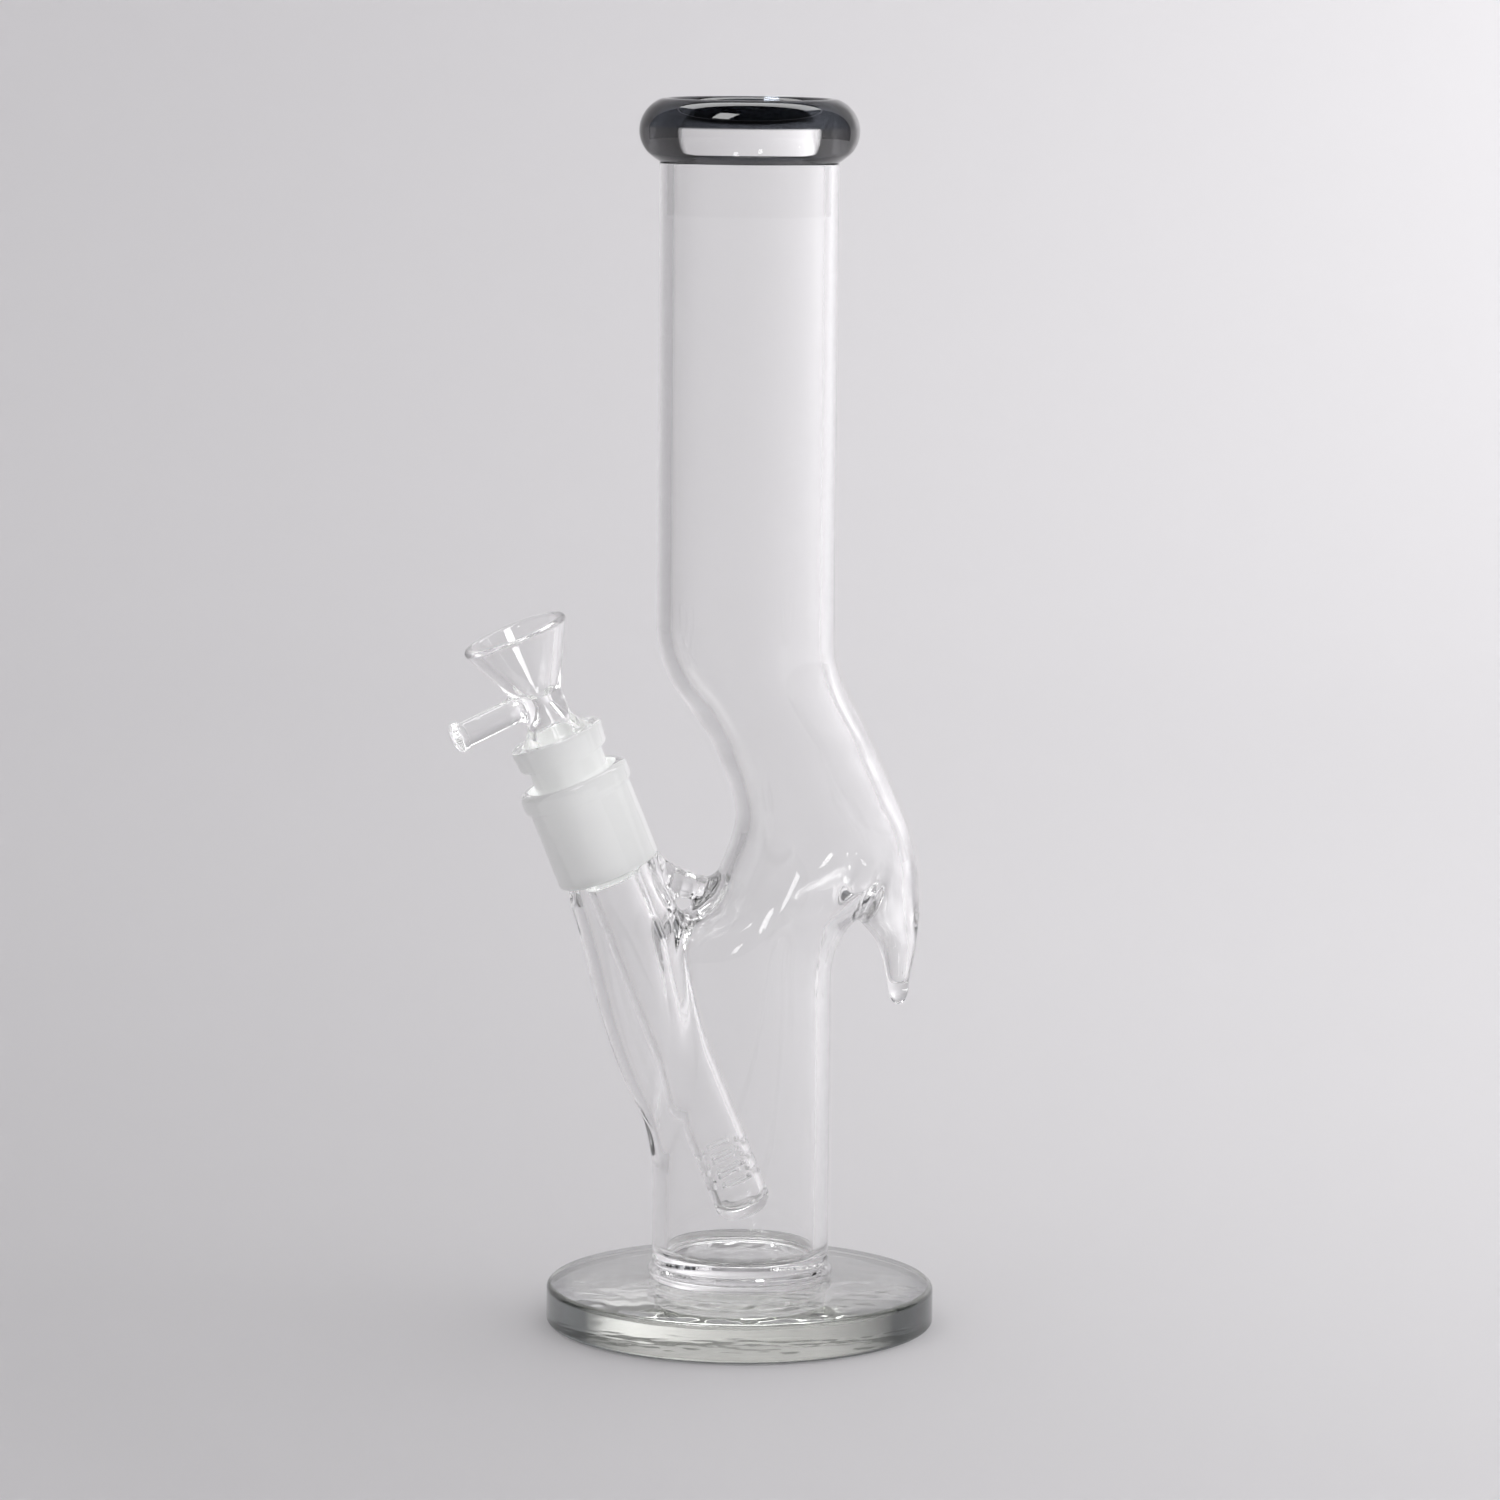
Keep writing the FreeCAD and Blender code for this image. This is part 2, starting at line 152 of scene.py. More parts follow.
# Side outlines, as in the CAD model: height, left edge, right edge.
BEND_OUTLINE = [
    (158.0, -19.0, 19.0), (150.0, -19.0, 19.0), (143.6, -17.7, 19.4),
    (139.3, -15.9, 20.7), (135.0, -13.0, 22.6), (130.6, -9.8, 25.0),
    (126.3, -7.0, 27.1), (121.9, -5.0, 29.0), (117.6, -3.3, 31.1),
    (113.2, -1.9, 33.0), (109.5, -1.5, 34.7), (106.0, -2.1, 35.9),
    (102.5, -3.3, 36.3), (99.0, -4.8, 35.6), (95.5, -6.4, 33.2),
    (92.0, -9.0, 29.4), (88.5, -13.2, 25.0), (85.0, -17.0, 22.0),
    (81.5, -18.7, 20.2), (78.0, -19.0, 19.3), (74.0, -19.0, 19.0),
    (70.0, -19.0, 19.0), (40.0, -19.0, 19.0), (10.0, -19.0, 19.0),
]
# Height, left edge, right edge, half depth, wall.
HORN_OUTLINE = [
    (112.0, 20.5, 28.0, 8.0, 3.1), (107.0, 20.0, 32.5, 11.5, 3.1),
    (101.0, 20.0, 36.8, 14.0, 3.1), (95.0, 21.0, 37.9, 13.8, 3.0),
    (91.0, 22.8, 38.2, 12.6, 2.8), (88.0, 24.6, 38.3, 10.3, 2.4),
    (85.0, 27.2, 38.2, 7.2, 2.0), (82.0, 29.5, 38.0, 5.0, 1.7),
    (79.0, 30.6, 37.6, 3.8, 1.5), (76.0, 31.3, 37.0, 3.0, 1.2),
    (73.0, 31.8, 36.5, 2.4, 1.1), (70.6, 32.2, 36.3, 2.1, 1.0),
    (69.2, 32.8, 35.7, 1.5, 1.0),
]
HORN_HOLLOW_END = 73.0
HORN_TIP = np.array([34.25, 0.0, 69.7])
HORN_TIP_R = 1.3
# Height, left edge, right edge, half depth.
NECK_OUTLINE = [
    (84.0, -35.0, -10.5, 11.4), (72.0, -31.9, -4.0, 12.0),
    (60.0, -28.2, 2.0, 12.2), (52.0, -24.9, 4.0, 11.6),
    (45.0, -21.4, 6.0, 10.2), (37.0, -18.2, 6.0, 8.4),
]
NECK_STRAIGHT = (91.0, 98.0, 105.0)  # heights of level sections above the outline
# Radius, height.
RIM_OUTLINE = [
    (TUBE_R, TUBE_TOP), (21.8, 251.6), (23.3, 255.8),
    (22.3, 259.4), (20.0, 261.8), (17.4, 262.6),
    (15.2, 260.8), (14.3, 256.4), (14.9, 251.8),
    (BORE_R, TUBE_TOP),
]
RIM_WINDOW_LOW = 250.7  # heights between which the ring looks straight, like a window
RIM_WINDOW_HIGH = 257.0

# Widths of the fillets where glass, or the hollow in it, runs together.
TIP_BLEND = 0.8
HORN_BLEND = 2.5
BRACE_BLEND = 3.0
NECK_BLEND = 3.5
HORN_HOLLOW_BLEND = 2.0
NECK_HOLLOW_BLEND = 1.5
OVAL_END_BLEND = 1.2
HANDLE_BLEND = 1.4

WOBBLE_DEPTH = 0.04
WORKED_LOW = 62.0  # heights between which the tube was worked by hand
WORKED_HIGH = 150.0
WORKED_FADE = 20.0

# ---- curves and outlines ----


def natural_cubic(places, values):
    """Curve through the points; calling it gives values and slopes, held level past its ends."""
    order = np.argsort(places)
    x = np.array(places, float)[order]
    y = np.array(values, float)[order]
    h = np.diff(x)
    count = len(x)
    matrix = np.eye(count)
    right = np.zeros(count)
    for i in range(1, count - 1):
        matrix[i, i - 1] = h[i - 1]
        matrix[i, i] = 2 * (h[i - 1] + h[i])
        matrix[i, i + 1] = h[i]
        right[i] = 6 * ((y[i + 1] - y[i]) / h[i] - (y[i] - y[i - 1]) / h[i - 1])
    bend = np.linalg.solve(matrix, right)

    def curve(at):
        held = np.clip(at, x[0], x[-1])
        i = np.clip(np.searchsorted(x, held) - 1, 0, count - 2)
        t = held - x[i]
        first = (y[i + 1] - y[i]) / h[i] - h[i] * (2 * bend[i] + bend[i + 1]) / 6
        third = (bend[i + 1] - bend[i]) / (6 * h[i])
        value = y[i] + t * (first + t * (bend[i] / 2 + t * third))
        slope = first + t * (bend[i] + t * 3 * third)
        return value, slope

    return curve


def unit(vector):
    """The vector at length 1."""
    return vector / max(np.linalg.norm(vector), 1e-12)


def rounded(corners, arc_step=math.radians(10)):
    """Samples (radius, height, normal r, normal z, slot) round a closed profile.

    The profile runs anticlockwise, radius to the right and height up.  A corner is (radius,
    height, round, slot); round and slot may be left out.  The slot is the material of the
    edge that follows the corner.
    """
    rows = [tuple(corner) + (0.25, 0)[len(corner) - 2:] for corner in corners]
    points = np.array([row[:2] for row in rows], float)
    samples = []
    count = len(rows)
    for i, (radius, height, fillet, slot) in enumerate(rows):
        here = points[i]
        come = unit(here - points[i - 1])
        go = unit(points[(i + 1) % count] - here)
        normal_in = np.array([come[1], -come[0]])
        normal_out = np.array([go[1], -go[0]])
        turn = math.atan2(come[0] * go[1] - come[1] * go[0], come @ go)
        if radius < TINY:
            on_axis_next = points[(i + 1) % count][0] < TINY
            normal = normal_in if on_axis_next else normal_out
            samples.append((0.0, height, normal[0], normal[1], slot))
        elif abs(turn) < 1e-3 or fillet == 0:
            samples.append((radius, height, normal_out[0], normal_out[1], slot))
        else:
            reach = fillet * math.tan(abs(turn) / 2)
            side = 1.0 if turn > 0 else -1.0
            centre = here - come * reach - normal_in * fillet * side
            steps = max(2, math.ceil(abs(turn) / arc_step))
            for k in range(steps + 1):
                angle = turn * k / steps
                cos, sin = math.cos(angle), math.sin(angle)
                normal = np.array([
                    normal_in[0] * cos - normal_in[1] * sin,
                    normal_in[0] * sin + normal_in[1] * cos,
                ])
                point = centre + normal * fillet * side
                samples.append((point[0], point[1], normal[0], normal[1], slot))
    return samples


# ---- meshes ----


def tilted(points, angle):
    """Points turned about the Y axis."""
    cos, sin = math.cos(angle), math.sin(angle)
    x = points[:, 0] * cos - points[:, 2] * sin
    z = points[:, 0] * sin + points[:, 2] * cos
    return np.stack([x, points[:, 1], z], axis=1)


def into_joint_frame(points):
    """Points seen from the joint: Z along its axis, height 0 at the socket's mouth."""
    return tilted(points - JOINT_LIP, -JOINT_TILT)


def placed(name, data):
    """New object of the scene."""
    obj = bpy.data.objects.new(name, data)
    bpy.context.scene.collection.objects.link(obj)
    return obj


class Shape:
    """Points, normals and faces of one piece, gathered before its mesh is made."""

    def __init__(self):
        self.points = []
        self.normals = []
        self.faces = []
        self.slots = []
        self.flat = []

    def add(self, points, normals):
        """Add points with their normals and give the index of the first."""
        first = len(self.points)
        self.points.extend(map(tuple, points))
        self.normals.extend(map(tuple, normals))
        return first

    def face(self, corners, slot=0, flat=False):
        """Add a face; a flat one takes the normal of its plane instead of its points'."""
        self.faces.append(tuple(int(c) for c in corners))
        self.slots.append(slot)
        self.flat.append(flat)

    def to_joint(self):
        """Carry everything from the Z axis to the joint axis."""
        self.points = [tuple(p) for p in tilted(np.array(self.points), JOINT_TILT) + JOINT_LIP]
        self.normals = [tuple(n) for n in tilted(np.array(self.normals), JOINT_TILT)]

    def piece(self, name, body, materials, replaced, slot):
        """Make the mesh object, with its own smooth normals, riding on a body."""
        mesh = bpy.data.meshes.new(name)
        mesh.from_pydata([Vector(p) * MM for p in self.points], [], self.faces)
        for material in materials:
            mesh.materials.append(material)
        mesh.polygons.foreach_set("material_index", self.slots)
        mesh.polygons.foreach_set("use_smooth", [True] * len(self.faces))
        mesh.update()
        loop_normals = []
        for polygon, flat in zip(mesh.polygons, self.flat):
            for vertex in polygon.vertices:
                loop_normals.append(tuple(polygon.normal) if flat else self.normals[vertex])
        mesh.normals_split_custom_set(loop_normals)
        obj = placed(name, mesh)
        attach(obj, body)
        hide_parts(*replaced)
        return obj


def lathe(shape, samples, steps, closed=True):
    """Turn a sampled profile about Z into the shape; gives the first index of each ring.

    A sample on the axis makes one point.
    """
    angles = [2 * math.pi * k / steps for k in range(steps)]
    firsts = []
    for radius, height, normal_r, normal_z, slot in samples:
        if radius < TINY:
            points = [(0.0, 0.0, height)]
            normals = [(0.0, 0.0, math.copysign(1.0, normal_z))]
        else:
            points = [(radius * math.cos(a), radius * math.sin(a), height) for a in angles]
            normals = [(normal_r * math.cos(a), normal_r * math.sin(a), normal_z) for a in angles]
        firsts.append(shape.add(points, normals))
    count = len(samples)
    for j in range(count if closed else count - 1):
        following = (j + 1) % count
        a, b = firsts[j], firsts[following]
        single_a, single_b = samples[j][0] < TINY, samples[following][0] < TINY
        if single_a and single_b:
            continue
        for k in range(steps):
            after = (k + 1) % steps
            if single_a:
                corners = (a, b + after, b + k)
            elif single_b:
                corners = (a + k, a + after, b)
            else:
                corners = (a + k, a + after, b + after, b + k)
            shape.face(corners, samples[j][4])
    return firsts


# ---- distance functions (negative inside the glass or inside a hollow) ----


def smooth_min(a, b, reach):
    """Union of two distances, with a fillet about as wide as reach."""
    overlap = np.maximum(reach - np.abs(a - b), 0.0) / reach
    return np.minimum(a, b) - overlap * overlap * reach / 4


def oval_body(rows):
    """Distance to a body of level oval sections, round at its ends.

    A row is (height, left edge, right edge, half depth).
    """
    heights = [row[0] for row in rows]
    centre = natural_cubic(heights, [(row[1] + row[2]) / 2 for row in rows])
    width = natural_cubic(heights, [(row[2] - row[1]) / 2 for row in rows])
    depth = natural_cubic(heights, [row[3] for row in rows])
    lowest, highest = min(heights), max(heights)

    def distance(p):
        z = p[:, 2]
        c, lean = centre(z)
        a, widen = width(z)
        b, deepen = depth(z)
        u = (p[:, 0] - c) / a
        v = p[:, 1] / b
        r = np.sqrt(u * u + v * v) + TINY
        slope_z = (u * lean / a + (u * u * widen / a + v * v * deepen / b) / r) / r
        steep = np.sqrt((u / (r * a)) ** 2 + (v / (r * b)) ** 2 + slope_z ** 2)
        past_ends = np.maximum(lowest - z, z - highest)
        return -smooth_min((1 - r) / steep, -past_ends, OVAL_END_BLEND)

    return distance


def inset(rows, wall):
    """Edges of the hollow inside an outline, moved in by the wall square to the surface."""
    heights = [row[0] for row in rows]
    left = natural_cubic(heights, [row[1] for row in rows])
    right = natural_cubic(heights, [row[2] for row in rows])
    result = []
    for height, left_edge, right_edge in rows:
        shift_left = wall * math.hypot(1.0, left(np.array([height]))[1][0])
        shift_right = wall * math.hypot(1.0, right(np.array([height]))[1][0])
        result.append((height, left_edge + shift_left, right_edge - shift_right, BORE_R))
    return result


def strut(start, end, radii):
    """Distance to a twisted strut whose radius follows (length along it, radius) pairs."""
    along = unit(end - start)
    across = np.array([0.0, 1.0, 0.0])
    upward = np.cross(along, across)
    length = np.linalg.norm(end - start)
    radius = natural_cubic([at for at, r in radii], [r for at, r in radii])

    def distance(p):
        offset = p - start
        t = np.clip(offset @ along, 0.0, length)
        away = np.linalg.norm(offset - t[:, None] * along, axis=1)
        turn = TWIST_RIDGES * np.arctan2(offset @ across, offset @ upward)
        pitch = 2 * math.pi * t / TWIST_PITCH
        facets = TWIST_DEPTH * np.sin(turn + pitch) * np.sin(turn - pitch)
        return away - radius(t)[0] - facets

    return distance


def neck_rows():
    """The neck's outline, carried on upwards as level sections of the straight glass."""
    rows = list(NECK_OUTLINE)
    for height in NECK_STRAIGHT:
        axis_x = JOINT_LIP[0] + (JOINT_LIP[2] - height) * math.tan(JOINT_TILT)
        half = NECK_R / math.cos(JOINT_TILT)
        rows.append((height, axis_x - half, axis_x + half, NECK_R))
    return rows


def wobble(p):
    """Slow unevenness of hand-worked glass, strongest where the tube was bent."""
    x, y, z = p[:, 0], p[:, 1], p[:, 2]
    waves = np.sin(0.31 * x + 0.17 * z + 1.3) * np.sin(0.27 * y - 0.11 * z)
    waves += 0.6 * np.sin(0.47 * z + 0.35 * y + 0.7) * np.sin(0.41 * x + 2.1)
    worked = np.clip((z - WORKED_LOW) / WORKED_FADE, 0.0, 1.0)
    worked *= np.clip((WORKED_HIGH - z) / WORKED_FADE, 0.0, 1.0)
    return WOBBLE_DEPTH * waves * worked


def body_distance():
    """Distance to the fused glass between the chamber floor and the straight upper tube."""
    main = oval_body([(z, left, right, TUBE_R) for z, left, right in BEND_OUTLINE])
    main_hollow = oval_body(inset(BEND_OUTLINE, WALL))
    horn = oval_body([row[:4] for row in HORN_OUTLINE])
    horn_hollow = oval_body([
        (z, left + wall, right - wall, depth - wall)
        for z, left, right, depth, wall in HORN_OUTLINE if z >= HORN_HOLLOW_END
    ])
    neck = oval_body(neck_rows())
    neck_hollow = oval_body([
        (z, left + NECK_WALL, right - NECK_WALL, depth - NECK_WALL)
        for z, left, right, depth in neck_rows()
    ])
    brace = strut(BRACE_START, BRACE_END, BRACE_RADII)

    def distance(p):
        tip = np.linalg.norm(p - HORN_TIP, axis=1) - HORN_TIP_R
        hanging = smooth_min(horn(p), tip, TIP_BLEND)
        outer = smooth_min(main(p), hanging, HORN_BLEND)
        outer = smooth_min(outer, smooth_min(neck(p), brace(p), BRACE_BLEND), NECK_BLEND)
        hollow = smooth_min(main_hollow(p), horn_hollow(p), HORN_HOLLOW_BLEND)
        hollow = smooth_min(hollow, neck_hollow(p), NECK_HOLLOW_BLEND)
        return np.maximum(outer, -hollow - wobble(p))

    return distance


def gradient(distance, p, step=0.02):
    """Slope of a distance function, by differences."""
    slopes = np.zeros_like(p)
    for axis in range(3):
        shift = np.zeros(3)
        shift[axis] = step
        slopes[:, axis] = (distance(p + shift) - distance(p - shift)) / (2 * step)
    return slopes


def surface_net(distance, low, high, step):
    """Points and quads of the surface where the distance changes sign, inside a box."""
    sides = [np.arange(low[i], high[i] + step, step) for i in range(3)]
    grid = np.meshgrid(*sides, indexing="ij")
    places = np.stack([g.ravel() for g in grid], axis=1)
    field = np.concatenate([distance(part) for part in np.array_split(places, 12)])
    field = field.reshape(grid[0].shape)
    cells = tuple(n - 1 for n in field.shape)
    total = np.zeros(cells + (3,))
    hits = np.zeros(cells)
    crossings = []
    for axis in range(3):
        first = np.moveaxis(field, axis, 0)[:-1]
        second = np.moveaxis(field, axis, 0)[1:]
        crossing = (first < 0) != (second < 0)
        share = np.where(crossing, first / np.where(crossing, first - second, 1.0), 0.0)
        crossings.append((crossing, first < 0))
        others = [d for d in range(3) if d != axis]
        for offset_a in (0, 1):
            for offset_b in (0, 1):
                span_a = slice(offset_a, offset_a + cells[others[0]])
                span_b = slice(offset_b, offset_b + cells[others[1]])
                hit = np.moveaxis(crossing[:, span_a, span_b], 0, axis)
                part = np.moveaxis(share[:, span_a, span_b], 0, axis)
                hits += hit
                total[..., axis] += part
                total[..., others[0]] += offset_a * hit
                total[..., others[1]] += offset_b * hit
    used = hits > 0
    index = np.full(cells, -1)
    index[used] = np.arange(used.sum())
    corner = np.argwhere(used)
    points = np.array(low) + step * (corner + total[used] / hits[used][:, None])
    faces = []
    for axis in range(3):
        crossing, solid_first = crossings[axis]
        others = [d for d in range(3) if d != axis]
        inner = crossing[:, 1:-1, 1:-1]
        at = np.argwhere(inner)
        outwards = solid_first[:, 1:-1, 1:-1][inner]
        quad = np.zeros((len(at), 4), int)
        for k, (offset_a, offset_b) in enumerate(((0, 0), (1, 0), (1, 1), (0, 1))):
            cell = np.zeros((len(at), 3), int)
            cell[:, axis] = at[:, 0]
            cell[:, others[0]] = at[:, 1] + offset_a
            cell[:, others[1]] = at[:, 2] + offset_b
            quad[:, k] = index[cell[:, 0], cell[:, 1], cell[:, 2]]
        flip = outwards if axis == 1 else ~outwards
        quad[flip] = quad[flip][:, ::-1]
        faces.append(quad)
    return points, np.concatenate(faces)


def settled(distance, points, rounds=3):
    """Points moved on to the exact surface."""
    for _ in range(rounds):
        slope = gradient(distance, points)
        size = np.maximum((slope ** 2).sum(axis=1), 0.05)
        points = points - slope * (distance(points) / size)[:, None]
    return points


def trimmed(points, faces, planes):
    """The net cut off at planes; a plane is (point, outward normal, test of what it may cut)."""
    mesh = bpy.data.meshes.new("net")
    mesh.from_pydata(points.tolist(), [], faces.tolist())
    net = bmesh.new()
    net.from_mesh(mesh)
    bpy.data.meshes.remove(mesh)
    for place, normal, reached in planes:
        corners = np.array([v.co for v in net.verts])
        within = reached(corners)
        net.verts.index_update()
        cut = [f for f in net.faces if all(within[v.index] for v in f.verts)]
        cut_edges = dict.fromkeys(e for f in cut for e in f.edges)
        cut_verts = dict.fromkeys(v for f in cut for v in f.verts)
        bmesh.ops.bisect_plane(
            net,
            geom=[*cut, *cut_edges, *cut_verts],
            dist=1e-5,
            plane_co=place,
            plane_no=normal,
            clear_outer=True,
        )
    loose = [v for v in net.verts if not v.link_faces]
    bmesh.ops.delete(net, geom=loose, context="VERTS")
    net.verts.index_update()
    cut_points = np.array([v.co for v in net.verts])
    cut_faces = [[v.index for v in f.verts] for f in net.faces]
    edge_ends = [[v.index for v in e.verts] for e in net.edges if e.is_boundary]
    net.free()
    return cut_points, cut_faces, np.unique(np.array(edge_ends))


def net_shape(distance, points, step=0.02):
    """A shape that holds the net's points, with normals from the distance function."""
    normals = gradient(distance, points, step)
    normals /= np.linalg.norm(normals, axis=1)[:, None]
    shape = Shape()
    shape.add(points, normals)
    return shape


def zipped(shape, lower, upper, flat=False, turned=False):
    """Join two rings of (index, angle) pairs by triangles, walking round both together."""
    lower = sorted(lower, key=lambda pair: pair[1])
    upper = sorted(upper, key=lambda pair: pair[1])
    n, m = len(lower), len(upper)
    i = j = 0
    while i < n or j < m:
        next_low = lower[(i + 1) % n][1] + 2 * math.pi * ((i + 1) // n)
        next_up = upper[(j + 1) % m][1] + 2 * math.pi * ((j + 1) // m)
        if j == m or (i < n and next_low <= next_up):
            corners = (lower[i % n][0], lower[(i + 1) % n][0], upper[j % m][0])
            i += 1
        else:
            corners = (lower[i % n][0], upper[(j + 1) % m][0], upper[j % m][0])
            j += 1
        shape.face(corners[::-1] if turned else corners, flat=flat)


def with_angles(points, indexes):
    """(index, angle round Z) pairs of the points, for zipped()."""
    return [(i, math.atan2(points[i][1], points[i][0])) for i in indexes]


def edge_loops(points, edge, border):
    """A cut edge of the net as its loop outside the border radius and its loop inside it."""
    radius = np.hypot(points[:, 0], points[:, 1])
    outer = with_angles(points, [i for i in edge if radius[i] > border])
    inner = with_angles(points, [i for i in edge if radius[i] < border])
    return outer, inner


# ---- the pieces ----

NET_STEP = 0.78
LATHE_BOTTOM = 27.0  # heights between which the net is used
LATHE_TOP = BEND_TOP
JOINT_MARGIN = 0.6  # the lathe's rings start this far from the net's cut edge
RING_STEPS = 160
DISC_STEPS = 192
SOCKET_STEPS = 128
STEM_STEPS = 120
RIM_SAMPLES = 72
BOWL_NET_STEP = 0.36


def pipe_net(distance):
    """Net of the bent and joined glass, cut square at its three ends, and its edge points."""
    low = (-37.0, -21.0, LATHE_BOTTOM - 2.0)
    high = (40.0, 21.0, LATHE_TOP + 2.0)
    points, faces = surface_net(distance, low, high, NET_STEP)
    points = settled(distance, points)
    joint_plane = JOINT_LIP + JOINT_AXIS * (-SOCKET_LEN - SEAM)

    def all_over(p):
        return np.ones(len(p), bool)

    def neck_end(p):
        local = into_joint_frame(p)
        off_axis = np.hypot(local[:, 0], local[:, 1])
        return (local[:, 2] > -SOCKET_LEN - 3.0) & (off_axis < NECK_R + 1.8)

    return trimmed(points, faces, [
        ((0, 0, LATHE_BOTTOM), (0, 0, -1), all_over),
        ((0, 0, LATHE_TOP), (0, 0, 1), all_over),
        (tuple(joint_plane), tuple(JOINT_AXIS), neck_end),
    ])


def ring_pairs(shape, first):
    """(index, angle) pairs of one lathe ring of the pipe."""
    return with_angles(shape.points, range(first, first + RING_STEPS))


def levelled(sample, side):
    """The sample with a level normal: outwards for side 1, inwards for side -1."""
    return (*sample[:2], side, 0.0, 0)


def straight_tube(shape, outer, inner):
    """Turn the straight upper tube and join its two walls to the net's upper edge."""
    samples = rounded([
        (TUBE_R, LATHE_TOP + JOINT_MARGIN, 0),
        (TUBE_R, TUBE_TOP - SEAM, 0.4),
        (BORE_R, TUBE_TOP - SEAM, 0.4),
        (BORE_R, LATHE_TOP + JOINT_MARGIN, 0),
    ])
    samples[0] = levelled(samples[0], 1.0)
    samples[-1] = levelled(samples[-1], -1.0)
    rings = lathe(shape, samples, RING_STEPS, closed=False)
    zipped(shape, outer, ring_pairs(shape, rings[0]))
    zipped(shape, inner, ring_pairs(shape, rings[-1]), turned=True)


def closed_bottom(shape, outer, inner):
    """Turn the closed bottom, outside and inside, and join it to the net's lower edge."""
    outside = rounded([
        (0, DISC_T + SEAM),
        (TUBE_R + 0.2, DISC_T + SEAM, 0.3),
        (BEAD_R, DISC_T + 1.5, 1.2),
        (TUBE_R, BEAD_TOP, 1.0),
        (TUBE_R, LATHE_BOTTOM - JOINT_MARGIN, 0),
        (0, LATHE_BOTTOM - JOINT_MARGIN),
    ])[:-1]
    outside[-1] = levelled(outside[-1], 1.0)
    rings = lathe(shape, outside, RING_STEPS, closed=False)
    zipped(shape, ring_pairs(shape, rings[-1]), outer)

    inside = rounded([
        (0, LATHE_BOTTOM),
        (0, FLOOR_Z),
        (BORE_R, FLOOR_Z, FLOOR_ROUND),
        (BORE_R, LATHE_BOTTOM - JOINT_MARGIN, 0),
    ])[1:]
    inside = [(r, z, -nr, -nz, slot) for r, z, nr, nz, slot in inside][::-1]
    inside[0] = levelled(inside[0], -1.0)
    rings = lathe(shape, inside, RING_STEPS, closed=False)
    zipped(shape, ring_pairs(shape, rings[0]), inner, turned=True)


def pipe_body(materials):
    """The clear glass from the chamber floor to the top of the tube, as one closed mesh."""
    distance = body_distance()
    points, faces, edges = pipe_net(distance)
    shape = net_shape(distance, points)
    for face in faces:
        shape.face(face)
    at_bottom = [i for i in edges if abs(points[i][2] - LATHE_BOTTOM) < 1e-3]
    at_top = [i for i in edges if abs(points[i][2] - LATHE_TOP) < 1e-3]
    at_joint = sorted(set(edges) - set(at_bottom) - set(at_top))
    straight_tube(shape, *edge_loops(points, at_top, TUBE_R - WALL / 2))
    closed_bottom(shape, *edge_loops(points, at_bottom, TUBE_R - WALL / 2))
    joint_loops = edge_loops(into_joint_frame(points), at_joint, NECK_R - NECK_WALL / 2)
    zipped(shape, *joint_loops, flat=True)
    replaced = ("chamber_floor", "lower_tube", "s_bend", "upper_tube", "joint_neck", "brace_strut")
    return shape.piece("pipe_body", "pipe", materials, replaced, "clear_glass")


def base_disc(material):
    """Thick disc foot, its top rising towards the tube."""
    shape = Shape()
    samples = rounded([
        (0, 0),
        (DISC_R, 0, 1.0),
        (DISC_R, DISC_EDGE_T, 1.3),
        (TUBE_R + 0.3, DISC_T, 3.0),
        (0, DISC_T),
    ])
    lathe(shape, samples, DISC_STEPS)
    return shape.piece("foot_disc", "pipe", [material], ["base_disc"], "base_glass")


def mouthpiece_rim(material):
    """Ring of smoke glass, its section drawn by a curve through the outline's points."""
    outline = np.array(RIM_OUTLINE)
    lengths = np.concatenate([[0], np.cumsum(np.linalg.norm(np.diff(outline, axis=0), axis=1))])
    radius = natural_cubic(lengths, outline[:, 0])
    height = natural_cubic(lengths, outline[:, 1])
    samples = []
    for t in np.linspace(0, lengths[-1], RIM_SAMPLES):
        r, slope_r = radius(np.array([t]))
        z, slope_z = height(np.array([t]))
        tangent = unit(np.array([slope_r[0], slope_z[0]]))
        straight = np.clip(RIM_WINDOW_HIGH - z[0], 0.0, 1.0)
        straight *= np.clip((z[0] - RIM_WINDOW_LOW) / 0.8, 0.0, 1.0)
        normal = unit(np.array([tangent[1], -tangent[0] * (1 - 0.9 * straight)]))
        samples.append((r[0], z[0], normal[0], normal[1], 0))
    shape = Shape()
    lathe(shape, samples, DISC_STEPS)
    shape.flat[-DISC_STEPS:] = [True] * DISC_STEPS  # the end that sits on the tube
    return shape.piece("mouth_ring", "pipe", [material], ["mouthpiece_rim"], "smoke_glass")


def joint_socket(materials):
    """Female ground joint: clear outside, ground bore."""
    bore_end = SOCKET_BORE_R - TAPER * SOCKET_LEN
    shape = Shape()
    samples = rounded([
        (bore_end, -SOCKET_LEN),
        (SOCKET_R, -SOCKET_LEN, 0.9),
        (SOCKET_R, -SOCKET_LIP_H - SOCKET_STEP, 0.5),
        (SOCKET_LIP_R, -SOCKET_LIP_H, 1.7),
        (SOCKET_LIP_R, 0, 1.7),
        (SOCKET_BORE_R, 0, 0.6, 1),
    ])
    lathe(shape, samples, SOCKET_STEPS)
    shape.to_joint()
    return shape.piece("ground_socket", "pipe", materials, ["joint_socket"], "ground_glass")


def female_bore(height):
    """Radius of the collar's ground bore."""
    return BOWL_BORE_R - TAPER * (COLLAR_TOP - height)


def male_cone(height):
    """Radius of the downstem's ground cone."""
    return SOCKET_BORE_R - JOINT_GAP + TAPER * height


